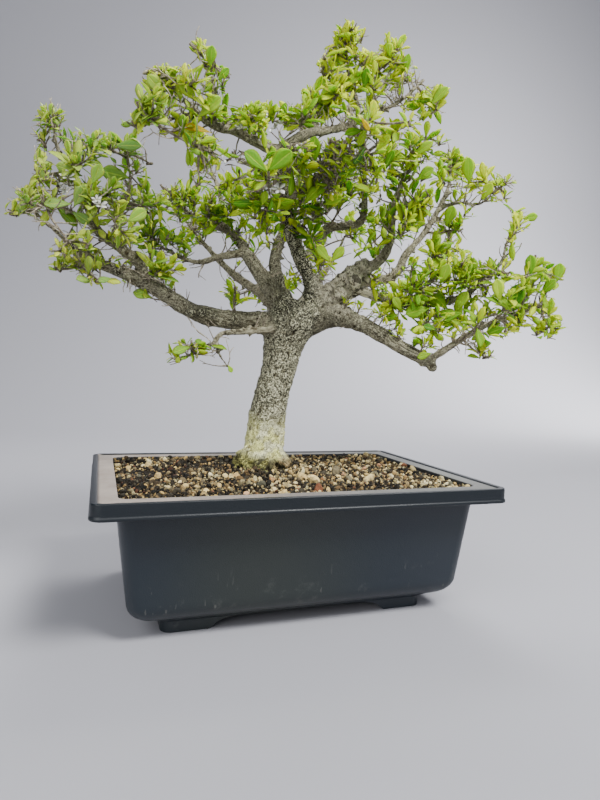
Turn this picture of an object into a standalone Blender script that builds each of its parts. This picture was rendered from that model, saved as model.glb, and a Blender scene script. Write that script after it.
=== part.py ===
"""A fukien tea bonsai in a rectangular plastic training pot.

The pot is one lofted shell with four corner feet. The soil fills it, with a relief of gravel on top.
The tree's wood is one grown piece: round tapering branches joined by one Boolean union. Every leafy
spray is a twig that forks to a few tufts, with blades placed round each tuft by a seeded rule that
keeps them clear of whatever was placed before.

Tables give places in millimetres in the pot's own frame: X to the right along the pot's front, Y away
from the front, Z up from the ground, with the origin under the middle of the pot. Everything hangs on
one empty, which moves the pot so that the whole object's box is centred on the world origin.
"""
import math
import random

import bmesh
import bpy
import numpy as np
from mathutils import Matrix, Vector, noise
from mathutils.bvhtree import BVHTree
from mathutils.kdtree import KDTree

MM = 0.001
SEED = 1712
GAP = 0.35 * MM
HOLE_GAP = 0.45 * MM
WELD = 0.01 * MM
TINY_AREA = 0.02 * MM * MM
SPRAY_SEAM = 0.72 * MM
SOIL_SEAM = 2.5 * MM
WOOD_SEAM = 2 * MM
WOOD_SEAM_ABOVE = 140 * MM

# Where the middle of the pot stands, seen from the middle of the whole object's box
POT_CENTRE = (-0.019, -0.035, 0.0)

# The pot
POT_WIDTH = 380 * MM
POT_DEPTH = 268 * MM
FLANGE_UNDERSIDE = 126 * MM
POT_WALL = 2.5 * MM
POT_FLOOR_OUTSIDE = 15 * MM
POT_FLOOR_INSIDE = 18 * MM
WALL_INSET_TOP = 19.2 * MM
WALL_INSET_BOTTOM = 29.5 * MM
WALL_FOOT_Z = 35 * MM
RIM_CORNER = 10 * MM
BODY_CORNER = 14 * MM
CORNER_STEPS = 3
OUTER_FOOT_STEPS = 3
INNER_FOOT_STEPS = 2
# The rim's section from under the flange round the hanging skirt to the bead: inset, corner, height
SKIRT_SECTION = [
    (2.5, 8, 126), (2.5, 8, 115), (-1, 11, 115), (-1, 11, 116.8), (0, 10, 118), (0, 10, 127.4),
    (1, 9, 128.7), (4.8, 7, 128.7), (5.8, 6.5, 127), (7, 6, 127.8), (21.2, 9, 127.8)]
PLINTH_HALF_X = 138 * MM
PLINTH_HALF_Y = 89 * MM
FOOT_HALF_X = 130 * MM
FOOT_HALF_Y = 82 * MM
FOOT_OVERLAP = 1 * MM
PLINTH_Z = 10 * MM
FOOT_WALL = 12 * MM
ARCH_FRONT = (57 * MM, 85 * MM)
ARCH_SIDE = (35 * MM, 50 * MM)
ARCH_STEPS = 3
DRAIN_RADIUS = 5 * MM
DRAIN_SIDES = 6
DRAIN_PLACES = [(x * MM, y * MM) for x in (-75, 0, 75) for y in (-42, 42)]

# The soil
SOIL_AT_WALL = 119.5 * MM
SOIL_MIDDLE_RISE = 3.5 * MM
SOIL_TRUNK_RISE = 3.5 * MM
TRUNK_RISE_SPREAD = 45 * MM
GRAVEL_CELL = 13.5 * MM
GRAVEL_RELIEF = 5 * MM
GRAVEL_JITTER = 0.28
STONES = 12
STONE_RADII = (7 * MM, 11 * MM)
STONE_TO_WALL = 1.5 * MM
STONE_TO_TRUNK = 44 * MM

# The trunk's foot and its surface roots: reach from the trunk's middle, height, radius
TRUNK_FOOT = (-7, 45)
ROOT_ANGLES = (20, 75, 135, 200, 250, 310)
ROOT_SECTION = [(8, 134, 13), (25, 126, 9), (39, 118.5, 6.5), (52, 109, 3.5)]
ROOT_SIDES = 6
# The bark's swellings: waves per metre, and depth as a share of the mean radius
BARK_WAVES = (60, 140)
BARK_DEPTH = 0.09

# Each branch: sides, then stations of x, y, z and radius in millimetres. A branch starts inside the
# one that carries it. The trunk's foot goes down into the soil.
BRANCHES = {
    "trunk": (12, [
        (-7, 45, 98, 22), (-7, 45, 114, 27), (-7, 45, 124, 29), (-6, 45, 133, 24.5), (-6, 45, 147, 22),
        (-5, 45, 183, 21), (-1, 45, 212, 19), (7, 45, 241, 20), (14, 45, 264, 25), (22, 45, 287, 29),
        (29, 45, 303, 26), (33, 45, 313, 17)]),
    "low_left": (8, [
        (14, 45, 285, 14), (-14, 42, 287, 13), (-43, 38, 287, 11), (-90, 25, 292, 9), (-126, 12, 308, 7.5),
        (-161, 2, 322, 6), (-198, -2, 334, 4.4), (-216, 0, 346, 3)]),
    "low_left_whip": (6, [
        (-207, -1, 339, 2.6), (-221, 0, 352, 2), (-235, 2, 365, 1.7), (-248, 5, 377, 1.4)]),
    "low_left_rise": (6, [
        (-141, 8, 315, 5.5), (-151, 2, 335, 5.2), (-170, -8, 346, 4.8), (-189, -12, 359, 4.2),
        (-199, -10, 383, 3.6), (-210, -5, 407, 2.8), (-224, 0, 430, 2.1), (-229, 5, 456, 1.4)]),
    "low_left_fan": (6, [(-189, -12, 359, 3), (-208, -25, 368, 2.2), (-226, -35, 375, 1.5)]),
    "low_left_pad": (6, [
        (-177, -8, 349, 3.2), (-168, 15, 381, 2.6), (-159, 30, 416, 2), (-161, 35, 442, 1.4)]),
    "mid_left": (8, [
        (23, 55, 300, 12), (0, 62, 329, 9.5), (-18, 78, 360, 8), (-30, 90, 383, 6.6), (-45, 102, 399, 5.2),
        (-75, 112, 410, 3.6), (-104, 118, 425, 2)]),
    "mid_left_low": (6, [
        (-24, 85, 372, 5), (-57, 78, 362, 4), (-82, 68, 352, 3.2), (-106, 55, 354, 2.5), (-127, 45, 361, 1.6)]),
    "mid_left_top": (6, [
        (-45, 102, 399, 4), (-48, 115, 431, 3.2), (-56, 125, 463, 2.3), (-68, 130, 493, 1.4)]),
    "front_leader": (8, [
        (42, 44, 296, 13), (49, 40, 312, 11), (40, 36, 338, 9), (20, 25, 366, 8), (5, 12, 391, 7.4),
        (-5, 0, 415, 7), (-13, -10, 439, 6.6), (-16, -15, 461, 6.2)]),
    "upper_left": (6, [
        (-14, -13, 455, 6.4), (-47, -28, 457, 5.2), (-68, -38, 459, 4.6), (-91, -48, 457, 4),
        (-110, -52, 467, 3), (-124, -50, 479, 1.8)]),
    "upper_left_shoot": (6, [
        (-91, -48, 457, 3), (-90, -48, 482, 2.4), (-93, -46, 505, 1.8), (-101, -44, 524, 1.2)]),
    "cross": (6, [
        (-16, -15, 458, 6), (14, -12, 479, 5), (48, -6, 492, 4.2), (75, 2, 509, 3.6), (75, 8, 535, 2.9),
        (66, 12, 563, 2.2), (64, 14, 592, 1.4)]),
    "cross_twig": (6, [(18, -12, 478, 2.4), (21, -12, 493, 1.8), (20, -12, 504, 1.3)]),
    "dead_stick": (6, [(76, 2, 508, 2.8), (120, -4, 533, 2.4), (150, -8, 562, 1.8)]),
    "back_leader": (6, [
        (27, 60, 300, 10), (10, 75, 352, 7.6), (14, 85, 380, 6.6), (28, 98, 412, 5.6), (43, 108, 453, 4.4),
        (53, 115, 500, 3.2), (57, 120, 545, 1.6)]),
    "link": (6, [
        (28, 30, 353, 6), (59, 45, 397, 5.2), (84, 45, 406, 4.8), (104, 42, 414, 4.4), (105, 42, 454, 3.8),
        (100, 42, 495, 3.2), (100, 42, 529, 2.6), (120, 42, 564, 1.9), (136, 42, 602, 1.2)]),
    "knob": (8, [(45, 40, 300, 17), (71, 36, 324, 16), (91, 30, 346, 12.5), (101, 25, 356, 8)]),
    "knob_up": (6, [
        (91, 30, 350, 8), (114, 15, 362, 5.6), (123, 4, 386, 4.8), (120, -4, 414, 3.9), (128, -10, 449, 2.8),
        (143, -14, 471, 1.6)]),
    "long_riser": (6, [
        (85, 34, 338, 8), (145, 40, 352, 5.4), (165, 44, 381, 4.8), (191, 48, 410, 4.1), (210, 50, 440, 3.3),
        (224, 52, 470, 2.3), (227, 52, 498, 1.4)]),
    "long_riser_side": (6, [
        (212, 50, 444, 2.8), (236, 42, 451, 2.3), (260, 34, 451, 1.8), (277, 28, 468, 1.3)]),
    "low_right": (8, [
        (40, 44, 292, 17), (64, 25, 299, 14), (86, 8, 290, 10), (107, -8, 275, 8), (128, -24, 259, 7.2),
        (149, -38, 248, 6.4), (158, -44, 246, 5.6)]),
    "low_right_out": (6, [
        (149, -38, 249, 4.6), (175, -50, 269, 4), (192, -54, 281, 3.5), (213, -56, 292, 3),
        (254, -56, 307, 2.1), (285, -54, 321, 1.3)]),
    "low_right_tip": (6, [(250, -56, 305, 2), (261, -60, 330, 1.6), (269, -62, 353, 1.2)]),
    "right_mid": (6, [
        (84, 34, 333, 7), (122, 10, 321, 5.6), (156, -5, 316, 4.8), (183, -14, 318, 4.2), (212, -20, 330, 3.4),
        (229, -24, 348, 2.8), (248, -28, 367, 2.2), (253, -30, 390, 1.7), (261, -32, 414, 1.2)]),
    "low_shoot": (6, [
        (2, 34, 281, 5), (-40, 10, 274, 3.4), (-67, 0, 270, 2.8), (-78, -5, 258, 2.2), (-94, -8, 258, 1.4)]),
    "low_shoot_fork": (6, [(-74, -4, 261, 2), (-69, -6, 247, 1.6), (-60, -8, 235, 1.2)]),
    "back_left": (6, [
        (16, 62, 298, 10), (0, 95, 325, 6.5), (-28, 130, 352, 4.8), (-55, 152, 383, 3.4), (-78, 166, 412, 1.8)]),
    "back_right": (6, [
        (38, 60, 300, 10), (58, 95, 330, 6.2), (86, 125, 358, 4.7), (110, 146, 386, 3.3), (130, 160, 415, 1.8)]),
    "back_low": (6, [
        (24, 62, 290, 9), (30, 98, 308, 5), (24, 136, 322, 3.6), (8, 168, 343, 1.8)]),
    "right_back": (6, [
        (92, 34, 342, 6), (120, 72, 358, 4.2), (152, 104, 380, 3), (172, 126, 408, 1.6)]),
    "left_back": (6, [
        (-84, 28, 292, 6), (-108, 58, 312, 3.8), (-136, 88, 336, 2.8), (-156, 112, 362, 1.5)]),
    "front_shoot": (6, [
        (-3, 2, 410, 4), (12, -32, 424, 2.8), (24, -66, 440, 2), (32, -92, 458, 1.2)]),
}

# Each leafy spray: the branch that carries it, then the middle of each of its tufts
SPRAYS = [
    ("low_left_whip", [(-262, 5, 376), (-250, 0, 388)]),
    ("low_left_rise", [(-233, 5, 474), (-240, -5, 445), (-218, 12, 447)]),
    ("low_left_rise", [(-240, -15, 412), (-226, -30, 380), (-236, -36, 398)]),
    ("low_left_rise", [(-195, -15, 440), (-208, -30, 416)]),
    ("low_left_rise", [(-178, -34, 398), (-193, -42, 384), (-170, -40, 362)]),
    ("low_left_fan", [(-243, -48, 376), (-212, -45, 347)]),
    ("low_left_pad", [(-160, 40, 464), (-180, 24, 455), (-140, 25, 446)]),
    ("low_left_pad", [(-136, 30, 406), (-172, 46, 402), (-140, 52, 424)]),
    ("low_left", [(-222, -22, 326), (-186, -24, 318), (-200, 22, 345)]),
    ("low_left", [(-140, -12, 335), (-122, -6, 340), (-106, 42, 326)]),
    ("low_left", [(-50, 20, 327), (-66, 26, 318)]),
    ("mid_left_low", [(-138, 38, 378), (-146, 54, 356), (-112, 36, 374)]),
    ("mid_left", [(-120, 110, 450), (-136, 100, 416), (-95, 88, 436)]),
    ("mid_left", [(-74, 70, 414), (-46, 68, 418)]),
    ("mid_left_top", [(-85, 125, 514), (-60, 142, 522), (-92, 146, 484)]),
    ("mid_left_top", [(-28, 120, 472), (-16, 112, 446)]),
    ("upper_left", [(-136, -52, 500), (-146, -38, 484), (-114, -76, 486)]),
    ("upper_left", [(-160, -60, 450), (-148, -82, 448), (-106, -72, 436)]),
    ("upper_left", [(-60, -42, 486), (-72, -8, 486), (-62, -66, 470)]),
    ("upper_left_shoot", [(-110, -40, 535), (-94, -28, 528), (-80, -52, 508)]),
    ("cross", [(62, 15, 608), (54, 22, 590), (80, 0, 582)]),
    ("cross", [(32, 0, 558), (42, -16, 530), (82, -20, 540)]),
    ("cross", [(0, 10, 512), (2, -36, 494), (-25, 5, 502)]),
    ("cross_twig", [(20, -10, 530), (32, 6, 514)]),
    ("dead_stick", [(170, 8, 552), (158, -22, 532)]),
    ("link", [(140, 45, 630), (130, 60, 610), (158, 36, 598)]),
    ("link", [(126, 18, 516), (132, 56, 530)]),
    ("link", [(80, 62, 494), (70, 18, 458)]),
    ("link", [(66, 22, 424), (62, 66, 420)]),
    ("front_leader", [(-50, -58, 430), (-46, -84, 414), (-36, -44, 396)]),
    ("front_leader", [(-2, -64, 448), (-30, -88, 436)]),
    ("front_leader", [(36, -22, 408), (34, -10, 366)]),
    ("front_shoot", [(38, -110, 466), (52, -84, 448), (4, -94, 462)]),
    ("knob_up", [(152, -12, 504), (122, -32, 484), (92, -40, 464)]),
    ("knob_up", [(136, -32, 428), (118, -36, 402), (86, -14, 378)]),
    ("long_riser", [(225, 55, 524), (252, 70, 512), (200, 30, 480)]),
    ("long_riser", [(226, 22, 420), (182, 10, 384), (236, 78, 404)]),
    ("long_riser_side", [(290, 25, 486), (274, 44, 490), (256, 20, 428)]),
    ("right_mid", [(265, -35, 430), (240, -52, 396)]),
    ("right_mid", [(224, -60, 356), (232, 6, 368), (196, -48, 346)]),
    ("right_mid", [(160, -22, 348), (128, -42, 336), (155, -36, 292)]),
    ("low_right_out", [(216, -84, 322), (268, -28, 326), (196, -26, 306)]),
    ("low_right_out", [(305, -50, 316), (276, -70, 296)]),
    ("low_right_out", [(178, -84, 292), (208, -62, 264), (146, -76, 276)]),
    ("low_right_tip", [(265, -64, 376), (296, -52, 358), (238, -82, 350)]),
    ("low_shoot", [(-113, -10, 250), (-100, -18, 266)]),
    ("back_leader", [(56, 122, 580), (84, 138, 570), (24, 132, 526)]),
    ("back_leader", [(4, 142, 480), (36, 78, 494), (84, 116, 512)]),
    ("back_left", [(-94, 172, 440), (-58, 182, 414), (-40, 110, 396)]),
    ("back_right", [(142, 168, 444), (100, 178, 412), (130, 120, 424)]),
    ("back_low", [(2, 190, 362), (-28, 166, 336), (46, 156, 352)]),
    ("left_back", [(-166, 122, 388), (-122, 116, 352)]),
]

# Each flower, where its star opens
FLOWERS = [(-214, -34, 396), (-187, -48, 372), (-66, -62, 452), (-34, -78, 398), (108, -32, 450)]

# The twigs. A twig leans: it leaves its branch before the point nearest to its tuft.
TWIG_BASE_RADIUS = 1.7 * MM
TWIG_TIP_RADIUS = 1.0 * MM
TWIG_LEAN = 0.45
TWIG_LONG = 45 * MM
TWIG_SHORTEST = 8 * MM
TWIG_START_STEP = 0.1 * MM
TWIG_START_STEPS = 400
GUARD_SIDES = 12
BRANCH_BARE_SHARE = 0.2
FORK_RADIUS = 1.3 * MM
FORK_LONG = 22 * MM
FORK_PLACES = (0.3, 0.55)
TUFT_REACH = 12 * MM
TRIES = 16

# The leaves
LEAF_LENGTH = 30 * MM
LEAF_HALF_WIDTH = 6.8 * MM
LEAF_THICKNESS = 0.9 * MM
LEAF_SHAPES = ((0.05, 0.25), (0.10, 0.15), (0.02, 0.35))
LEAVES_PER_TUFT = 3
LEAVES_PER_FORK = 2
LEAF_SCALES = (0.86, 1.14)
LEAF_BACK = 1 * MM
LEAF_SPACING = 4.5 * MM
LEAF_OPENING = (22, 50)
LEAF_LIFT = 0.25
GUARD_WIDEN = 1.12
FREE_FROM_SHARE = 0.3
GOLDEN_ANGLE = math.radians(137.5)

# The flowers
FLOWER_RADIUS = 5.5 * MM
FLOWER_PETALS = 5
FLOWER_STALK = 9 * MM
STALK_RADIUS = 0.8 * MM
STALK_STEP = 0.1 * MM
STALK_STEPS = 80

# Colour, roughness
MATERIALS = {
    "pot_plastic": ((0.045, 0.05, 0.052), 0.5),
    "gravel": ((0.30, 0.22, 0.15), 0.9),
    "bark": ((0.24, 0.20, 0.15), 0.85),
    "leaf_green": ((0.16, 0.30, 0.03), 0.42),
    "petal_white": ((0.85, 0.85, 0.76), 0.6),
}


def clear_scene():
    """Remove whatever the scene holds before the model is made."""
    for item in list(bpy.data.objects):
        bpy.data.objects.remove(item, do_unlink=True)


def new_collection(name):
    """A collection linked under the scene."""
    group = bpy.data.collections.new(name)
    bpy.context.scene.collection.children.link(group)
    return group


def make_material(name):
    """A Principled material from the table above."""
    colour, roughness = MATERIALS[name]
    material = bpy.data.materials.new(name)
    material.use_nodes = True
    shader = material.node_tree.nodes["Principled BSDF"]
    shader.inputs["Base Color"].default_value = (*colour, 1.0)
    shader.inputs["Roughness"].default_value = roughness
    shader.inputs["Metallic"].default_value = 0.0
    return material


def mesh_object(name, mesh, group):
    """A new object for a mesh, in a collection."""
    item = bpy.data.objects.new(name, mesh)
    group.objects.link(item)
    return item


def evaluated_mesh(item):
    """The object's mesh with its modifiers, or its curve's solid."""
    bpy.context.view_layer.update()
    depsgraph = bpy.context.evaluated_depsgraph_get()
    return bpy.data.meshes.new_from_object(item.evaluated_get(depsgraph))


def welded_mesh(item):
    """The object's finished mesh with its loose caps welded on."""
    mesh = evaluated_mesh(item)
    shape = bmesh.new()
    shape.from_mesh(mesh)
    bmesh.ops.remove_doubles(shape, verts=shape.verts, dist=WELD)
    shape.to_mesh(mesh)
    shape.free()
    return mesh


def remove_object(item):
    """Take an object out, with its curve or mesh if nothing else uses it."""
    data = item.data
    bpy.data.objects.remove(item, do_unlink=True)
    if data.users == 0:
        store = bpy.data.curves if isinstance(data, bpy.types.Curve) else bpy.data.meshes
        store.remove(data)


def loft(rings, closed=False):
    """Quads between rings of equal count. The ends get caps, or meet when closed."""
    shape = bmesh.new()
    rows = [[shape.verts.new(point) for point in ring] for ring in rings]
    count = len(rows[0])
    pairs = list(zip(rows, rows[1:]))
    if closed:
        pairs.append((rows[-1], rows[0]))
    else:
        shape.faces.new(reversed(rows[0]))
        shape.faces.new(rows[-1])
    for low, high in pairs:
        for i in range(count):
            j = (i + 1) % count
            shape.faces.new((low[i], low[j], high[j], high[i]))
    bmesh.ops.recalc_face_normals(shape, faces=shape.faces)
    mesh = bpy.data.meshes.new("loft")
    shape.to_mesh(mesh)
    shape.free()
    return mesh


def rounded_rectangle(half_x, half_y, radius, z):
    """One ring of points with round corners, counterclockwise seen from above."""
    ring = []
    for corner, (sx, sy) in enumerate(((1, 1), (-1, 1), (-1, -1), (1, -1))):
        for step in range(CORNER_STEPS + 1):
            angle = math.pi / 2 * (corner + step / CORNER_STEPS)
            x = sx * (half_x - radius) + radius * math.cos(angle)
            y = sy * (half_y - radius) + radius * math.sin(angle)
            ring.append((x, y, z))
    return ring


def pot_ring(inset, radius, z):
    """A ring this far inside the pot's outer rim."""
    return rounded_rectangle(POT_WIDTH / 2 - inset, POT_DEPTH / 2 - inset, radius, z)


def wall_rings(shift, floor_z, corner, steps):
    """The tapering wall from the floor up: a round foot in a few steps, then the straight wall."""
    foot_radius = WALL_FOOT_Z - floor_z
    rings = []
    for step in range(steps + 1):
        angle = math.pi / 2 * step / steps
        inset = WALL_INSET_BOTTOM + shift + foot_radius * (1 - math.sin(angle))
        z = WALL_FOOT_Z - foot_radius * math.cos(angle)
        rings.append(pot_ring(inset, corner, z))
    rings.append(pot_ring(WALL_INSET_TOP + shift, corner, FLANGE_UNDERSIDE))
    return rings


def pot_profile():
    """Rings up the outside, out under the flange, round the skirt, over the rim and down inside."""
    rings = wall_rings(0, POT_FLOOR_OUTSIDE, BODY_CORNER, OUTER_FOOT_STEPS)
    rings += [pot_ring(inset * MM, corner * MM, z * MM) for inset, corner, z in SKIRT_SECTION]
    inside = wall_rings(POT_WALL, POT_FLOOR_INSIDE, BODY_CORNER - POT_WALL, INNER_FOOT_STEPS)
    return rings + inside[::-1]


def prism(outline, axis_matrix, half_length):
    """A flat outline drawn out both ways along its own Z, then turned by a matrix."""
    shape = bmesh.new()
    low = [shape.verts.new((x, y, -half_length)) for x, y in outline]
    face = shape.faces.new(low)
    drawn = bmesh.ops.extrude_face_region(shape, geom=[face])["geom"]
    lifted = [part for part in drawn if isinstance(part, bmesh.types.BMVert)]
    bmesh.ops.translate(shape, verts=lifted, vec=(0, 0, 2 * half_length))
    bmesh.ops.recalc_face_normals(shape, faces=shape.faces)
    bmesh.ops.transform(shape, matrix=axis_matrix, verts=shape.verts)
    mesh = bpy.data.meshes.new("prism")
    shape.to_mesh(mesh)
    shape.free()
    return mesh


def arch_outline(half_top, half_ground):
    """The opening between two feet: round at its upper corners, open below the ground."""
    quarter = [math.pi / 2 * step / ARCH_STEPS for step in range(ARCH_STEPS + 1)]
    spread = half_ground - half_top
    right = [(half_top + spread * math.cos(a), PLINTH_Z * math.sin(a)) for a in quarter]
    left = [(-x, z) for x, z in reversed(right)]
    return [(half_ground, -PLINTH_Z)] + right + left + [(-half_ground, -PLINTH_Z)]


def joined_mesh(item):
    """The object's mesh under its Boolean, as triangles, without the points where only two edges meet."""
    mesh = evaluated_mesh(item)
    shape = bmesh.new()
    shape.from_mesh(mesh)
    bmesh.ops.dissolve_verts(shape, verts=[vert for vert in shape.verts if len(vert.link_edges) == 2])
    bmesh.ops.triangulate(shape, faces=shape.faces)
    shape.to_mesh(mesh)
    shape.free()
    return mesh


def is_closed(mesh):
    """Whether every edge has two faces."""
    shape = bmesh.new()
    shape.from_mesh(mesh)
    closed = all(len(edge.link_faces) == 2 for edge in shape.edges)
    shape.free()
    return closed


def boolean(item, operation, group):
    """Join or cut an object with a whole collection, apply it, and remove the collection's objects."""
    modifier = item.modifiers.new(operation.lower(), "BOOLEAN")
    modifier.operation = operation
    modifier.operand_type = "COLLECTION"
    modifier.collection = group
    mesh = joined_mesh(item)
    if not is_closed(mesh):
        modifier.solver = "MANIFOLD"
        mesh = joined_mesh(item)
    item.modifiers.clear()
    used = item.data
    item.data = mesh
    bpy.data.meshes.remove(used)
    for other in list(group.objects):
        remove_object(other)


def face_normal(points):
    """A triangle's normal, scaled by twice its area."""
    return (points[1] - points[0]).cross(points[2] - points[0])


def can_collapse(edge, keep, drop):
    """Whether moving one end of an edge onto the other leaves a closed solid with no face turned over."""
    around_keep = {other.other_vert(keep) for other in keep.link_edges}
    around_drop = {other.other_vert(drop) for other in drop.link_edges}
    thirds = {vert for face in edge.link_faces for vert in face.verts} - {keep, drop}
    if len(thirds) != 2 or around_keep & around_drop != thirds:
        return False
    if any(len(vert.link_edges) < 4 for vert in thirds):
        return False
    for face in drop.link_faces:
        if keep in face.verts:
            continue
        before = face_normal([vert.co for vert in face.verts])
        after = face_normal([keep.co if vert is drop else vert.co for vert in face.verts])
        if after.length < TINY_AREA or before.dot(after) < 0.4 * before.length * after.length:
            return False
    return True


def collapse_seams(mesh, shortest, lowest=-1.0):
    """Collapse the short edges that a union leaves where its shapes meet, above a height."""
    shape = bmesh.new()
    shape.from_mesh(mesh)
    changed = True
    while changed:
        changed = False
        for edge in sorted(shape.edges, key=lambda one: (one.calc_length(), one.index)):
            if not edge.is_valid:
                continue
            first, second = edge.verts
            if edge.calc_length() > shortest or min(first.co.z, second.co.z) < lowest:
                continue
            for keep, drop in ((first, second), (second, first)):
                if can_collapse(edge, keep, drop):
                    bmesh.ops.weld_verts(shape, targetmap={drop: keep})
                    changed = True
                    break
        shape.edges.index_update()
    if all(len(edge.link_faces) == 2 for edge in shape.edges):
        shape.to_mesh(mesh)
    shape.free()


def keep_largest_body(mesh):
    """Drop every loose scrap, so that one solid joined across its edges is left."""
    shape = bmesh.new()
    shape.from_mesh(mesh)
    unseen = set(shape.faces)
    bodies = []
    while unseen:
        front = [unseen.pop()]
        body = list(front)
        while front:
            for edge in front.pop().edges:
                for face in edge.link_faces:
                    if face in unseen:
                        unseen.remove(face)
                        front.append(face)
                        body.append(face)
        bodies.append(body)
    bodies.sort(key=len)
    for body in bodies[:-1]:
        bmesh.ops.delete(shape, geom=body, context="FACES")
    shape.to_mesh(mesh)
    shape.free()


def curve_tube(name, stations, sides, group):
    """A round tapering solid along stations of point and radius: a bevelled curve made a mesh."""
    curve = bpy.data.curves.new(name, "CURVE")
    curve.dimensions = "3D"
    curve.fill_mode = "FULL"
    curve.bevel_depth = 1.0
    curve.bevel_resolution = (sides - 4) // 2
    curve.use_fill_caps = True
    spline = curve.splines.new("POLY")
    spline.points.add(len(stations) - 1)
    for point, (place, radius) in zip(spline.points, stations):
        point.co = (*place, 1)
        point.radius = radius
    guide = mesh_object(f"{name}_guide", curve, group)
    mesh = welded_mesh(guide)
    tube = mesh_object(name, mesh, group)
    tube.matrix_world = guide.matrix_world
    remove_object(guide)
    return tube


def stations_in_metres(stations, extra_radius=0.0):
    """Points and radii of a branch, in metres."""
    return [(Vector((x, y, z)) * MM, r * MM + extra_radius) for x, y, z, r in stations]


def rough_bark(mesh, reference, depth):
    """Move each vertex but those of the ends along the reference's normal by smooth noise.

    The quads become triangles along fixed diagonals, so that two such tubes keep an even distance.
    """
    ends = {index for face in reference.polygons if len(face.vertices) > 4 for index in face.vertices}
    finder = KDTree(len(reference.vertices))
    for source in reference.vertices:
        finder.insert(source.co, source.index)
    finder.balance()
    for vert in mesh.vertices:
        source = reference.vertices[finder.find(vert.co)[1]]
        if source.index in ends:
            continue
        swell = noise.noise(source.co * BARK_WAVES[0]) + 0.5 * noise.noise(source.co * BARK_WAVES[1])
        vert.co += source.normal * swell * depth
    shape = bmesh.new()
    shape.from_mesh(mesh)
    quads = [face for face in shape.faces if len(face.verts) == 4]
    bmesh.ops.triangulate(shape, faces=quads, quad_method="FIXED")
    shape.to_mesh(mesh)
    shape.free()


def root_stations(angle_deg, extra_radius=0.0):
    """A surface root: out of the flare, over the soil and down into it."""
    angle = math.radians(angle_deg)
    out = Vector((math.cos(angle), math.sin(angle), 0))
    centre = Vector((*TRUNK_FOOT, 0)) * MM
    return [(centre + out * reach * MM + Vector((0, 0, z * MM)), r * MM + extra_radius)
            for reach, z, r in ROOT_SECTION]


def foot_tubes(group, extra_radius):
    """The trunk's lower end and its roots, plain or swollen by a clearance."""
    tubes = []
    trunk = stations_in_metres(BRANCHES["trunk"][1], extra_radius)
    plain_trunk = stations_in_metres(BRANCHES["trunk"][1])
    if extra_radius:
        trunk[0] = (trunk[0][0] - Vector((0, 0, extra_radius)), trunk[0][1])
    tubes.append(shaped_tube("trunk", trunk, plain_trunk, BRANCHES["trunk"][0], group))
    for angle in ROOT_ANGLES:
        root = root_stations(angle, extra_radius)
        plain_root = root_stations(angle)
        if extra_radius:
            step = (root[-1][0] - root[-2][0]).normalized() * extra_radius
            root[-1] = (root[-1][0] + step, root[-1][1])
        tubes.append(shaped_tube(f"root_{angle}", root, plain_root, ROOT_SIDES, group))
    return tubes


def shaped_tube(name, stations, plain_stations, sides, group):
    """A tube whose bark is roughened as that of the plain one, so that both keep an even distance."""
    plain = curve_tube(name, plain_stations, sides, group)
    tube = curve_tube(name, stations, sides, group)
    depth = BARK_DEPTH * sum(radius for _, radius in plain_stations) / len(plain_stations)
    rough_bark(tube.data, plain.data, depth)
    remove_object(plain)
    return tube


def build_pot(group, cutters, material):
    """The shell, then its ring of feet, the arches between them and the drain holes."""
    pot = mesh_object("pot", loft(pot_profile()), group)
    feet_top = POT_FLOOR_OUTSIDE + FOOT_OVERLAP
    feet = [
        (PLINTH_HALF_X, PLINTH_HALF_Y, feet_top),
        (FOOT_HALF_X, FOOT_HALF_Y, PLINTH_Z),
        (FOOT_HALF_X, FOOT_HALF_Y, 0.0),
        (FOOT_HALF_X - FOOT_WALL, FOOT_HALF_Y - FOOT_WALL, 0.0),
        (FOOT_HALF_X - FOOT_WALL, FOOT_HALF_Y - FOOT_WALL, feet_top)]
    rings = [rounded_rectangle(half_x, half_y, RIM_CORNER, z) for half_x, half_y, z in feet]
    mesh_object("feet", loft(rings, closed=True), cutters)
    boolean(pot, "UNION", cutters)
    front = prism(arch_outline(*ARCH_FRONT), Matrix.Rotation(math.pi / 2, 4, "X"), POT_DEPTH)
    side_turn = Matrix.Rotation(math.pi / 2, 4, "Z") @ Matrix.Rotation(math.pi / 2, 4, "X")
    side = prism(arch_outline(*ARCH_SIDE), side_turn, POT_WIDTH)
    mesh_object("arch_front", front, cutters)
    mesh_object("arch_side", side, cutters)
    for x, y in DRAIN_PLACES:
        shape = bmesh.new()
        bmesh.ops.create_cone(shape, cap_ends=True, segments=DRAIN_SIDES, radius1=DRAIN_RADIUS,
                              radius2=DRAIN_RADIUS, depth=4 * POT_WALL)
        bmesh.ops.translate(shape, verts=shape.verts, vec=(x, y, POT_FLOOR_OUTSIDE))
        hole = bpy.data.meshes.new("drain")
        shape.to_mesh(hole)
        shape.free()
        mesh_object("drain", hole, cutters)
    boolean(pot, "DIFFERENCE", cutters)
    pot.data.materials.clear()
    pot.data.materials.append(material)
    return pot


def soil_height(x, y):
    """A low mound, with one more rise round the trunk's foot."""
    half_x = POT_WIDTH / 2 - WALL_INSET_TOP
    half_y = POT_DEPTH / 2 - WALL_INSET_TOP
    edge = max(abs(x) / half_x, abs(y) / half_y)
    mound = SOIL_MIDDLE_RISE * (1 - min(edge, 1.0) ** 2)
    to_trunk = math.hypot(x - TRUNK_FOOT[0] * MM, y - TRUNK_FOOT[1] * MM)
    rise = SOIL_TRUNK_RISE * math.exp(-(to_trunk / TRUNK_RISE_SPREAD) ** 2)
    return SOIL_AT_WALL + mound + rise


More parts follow.
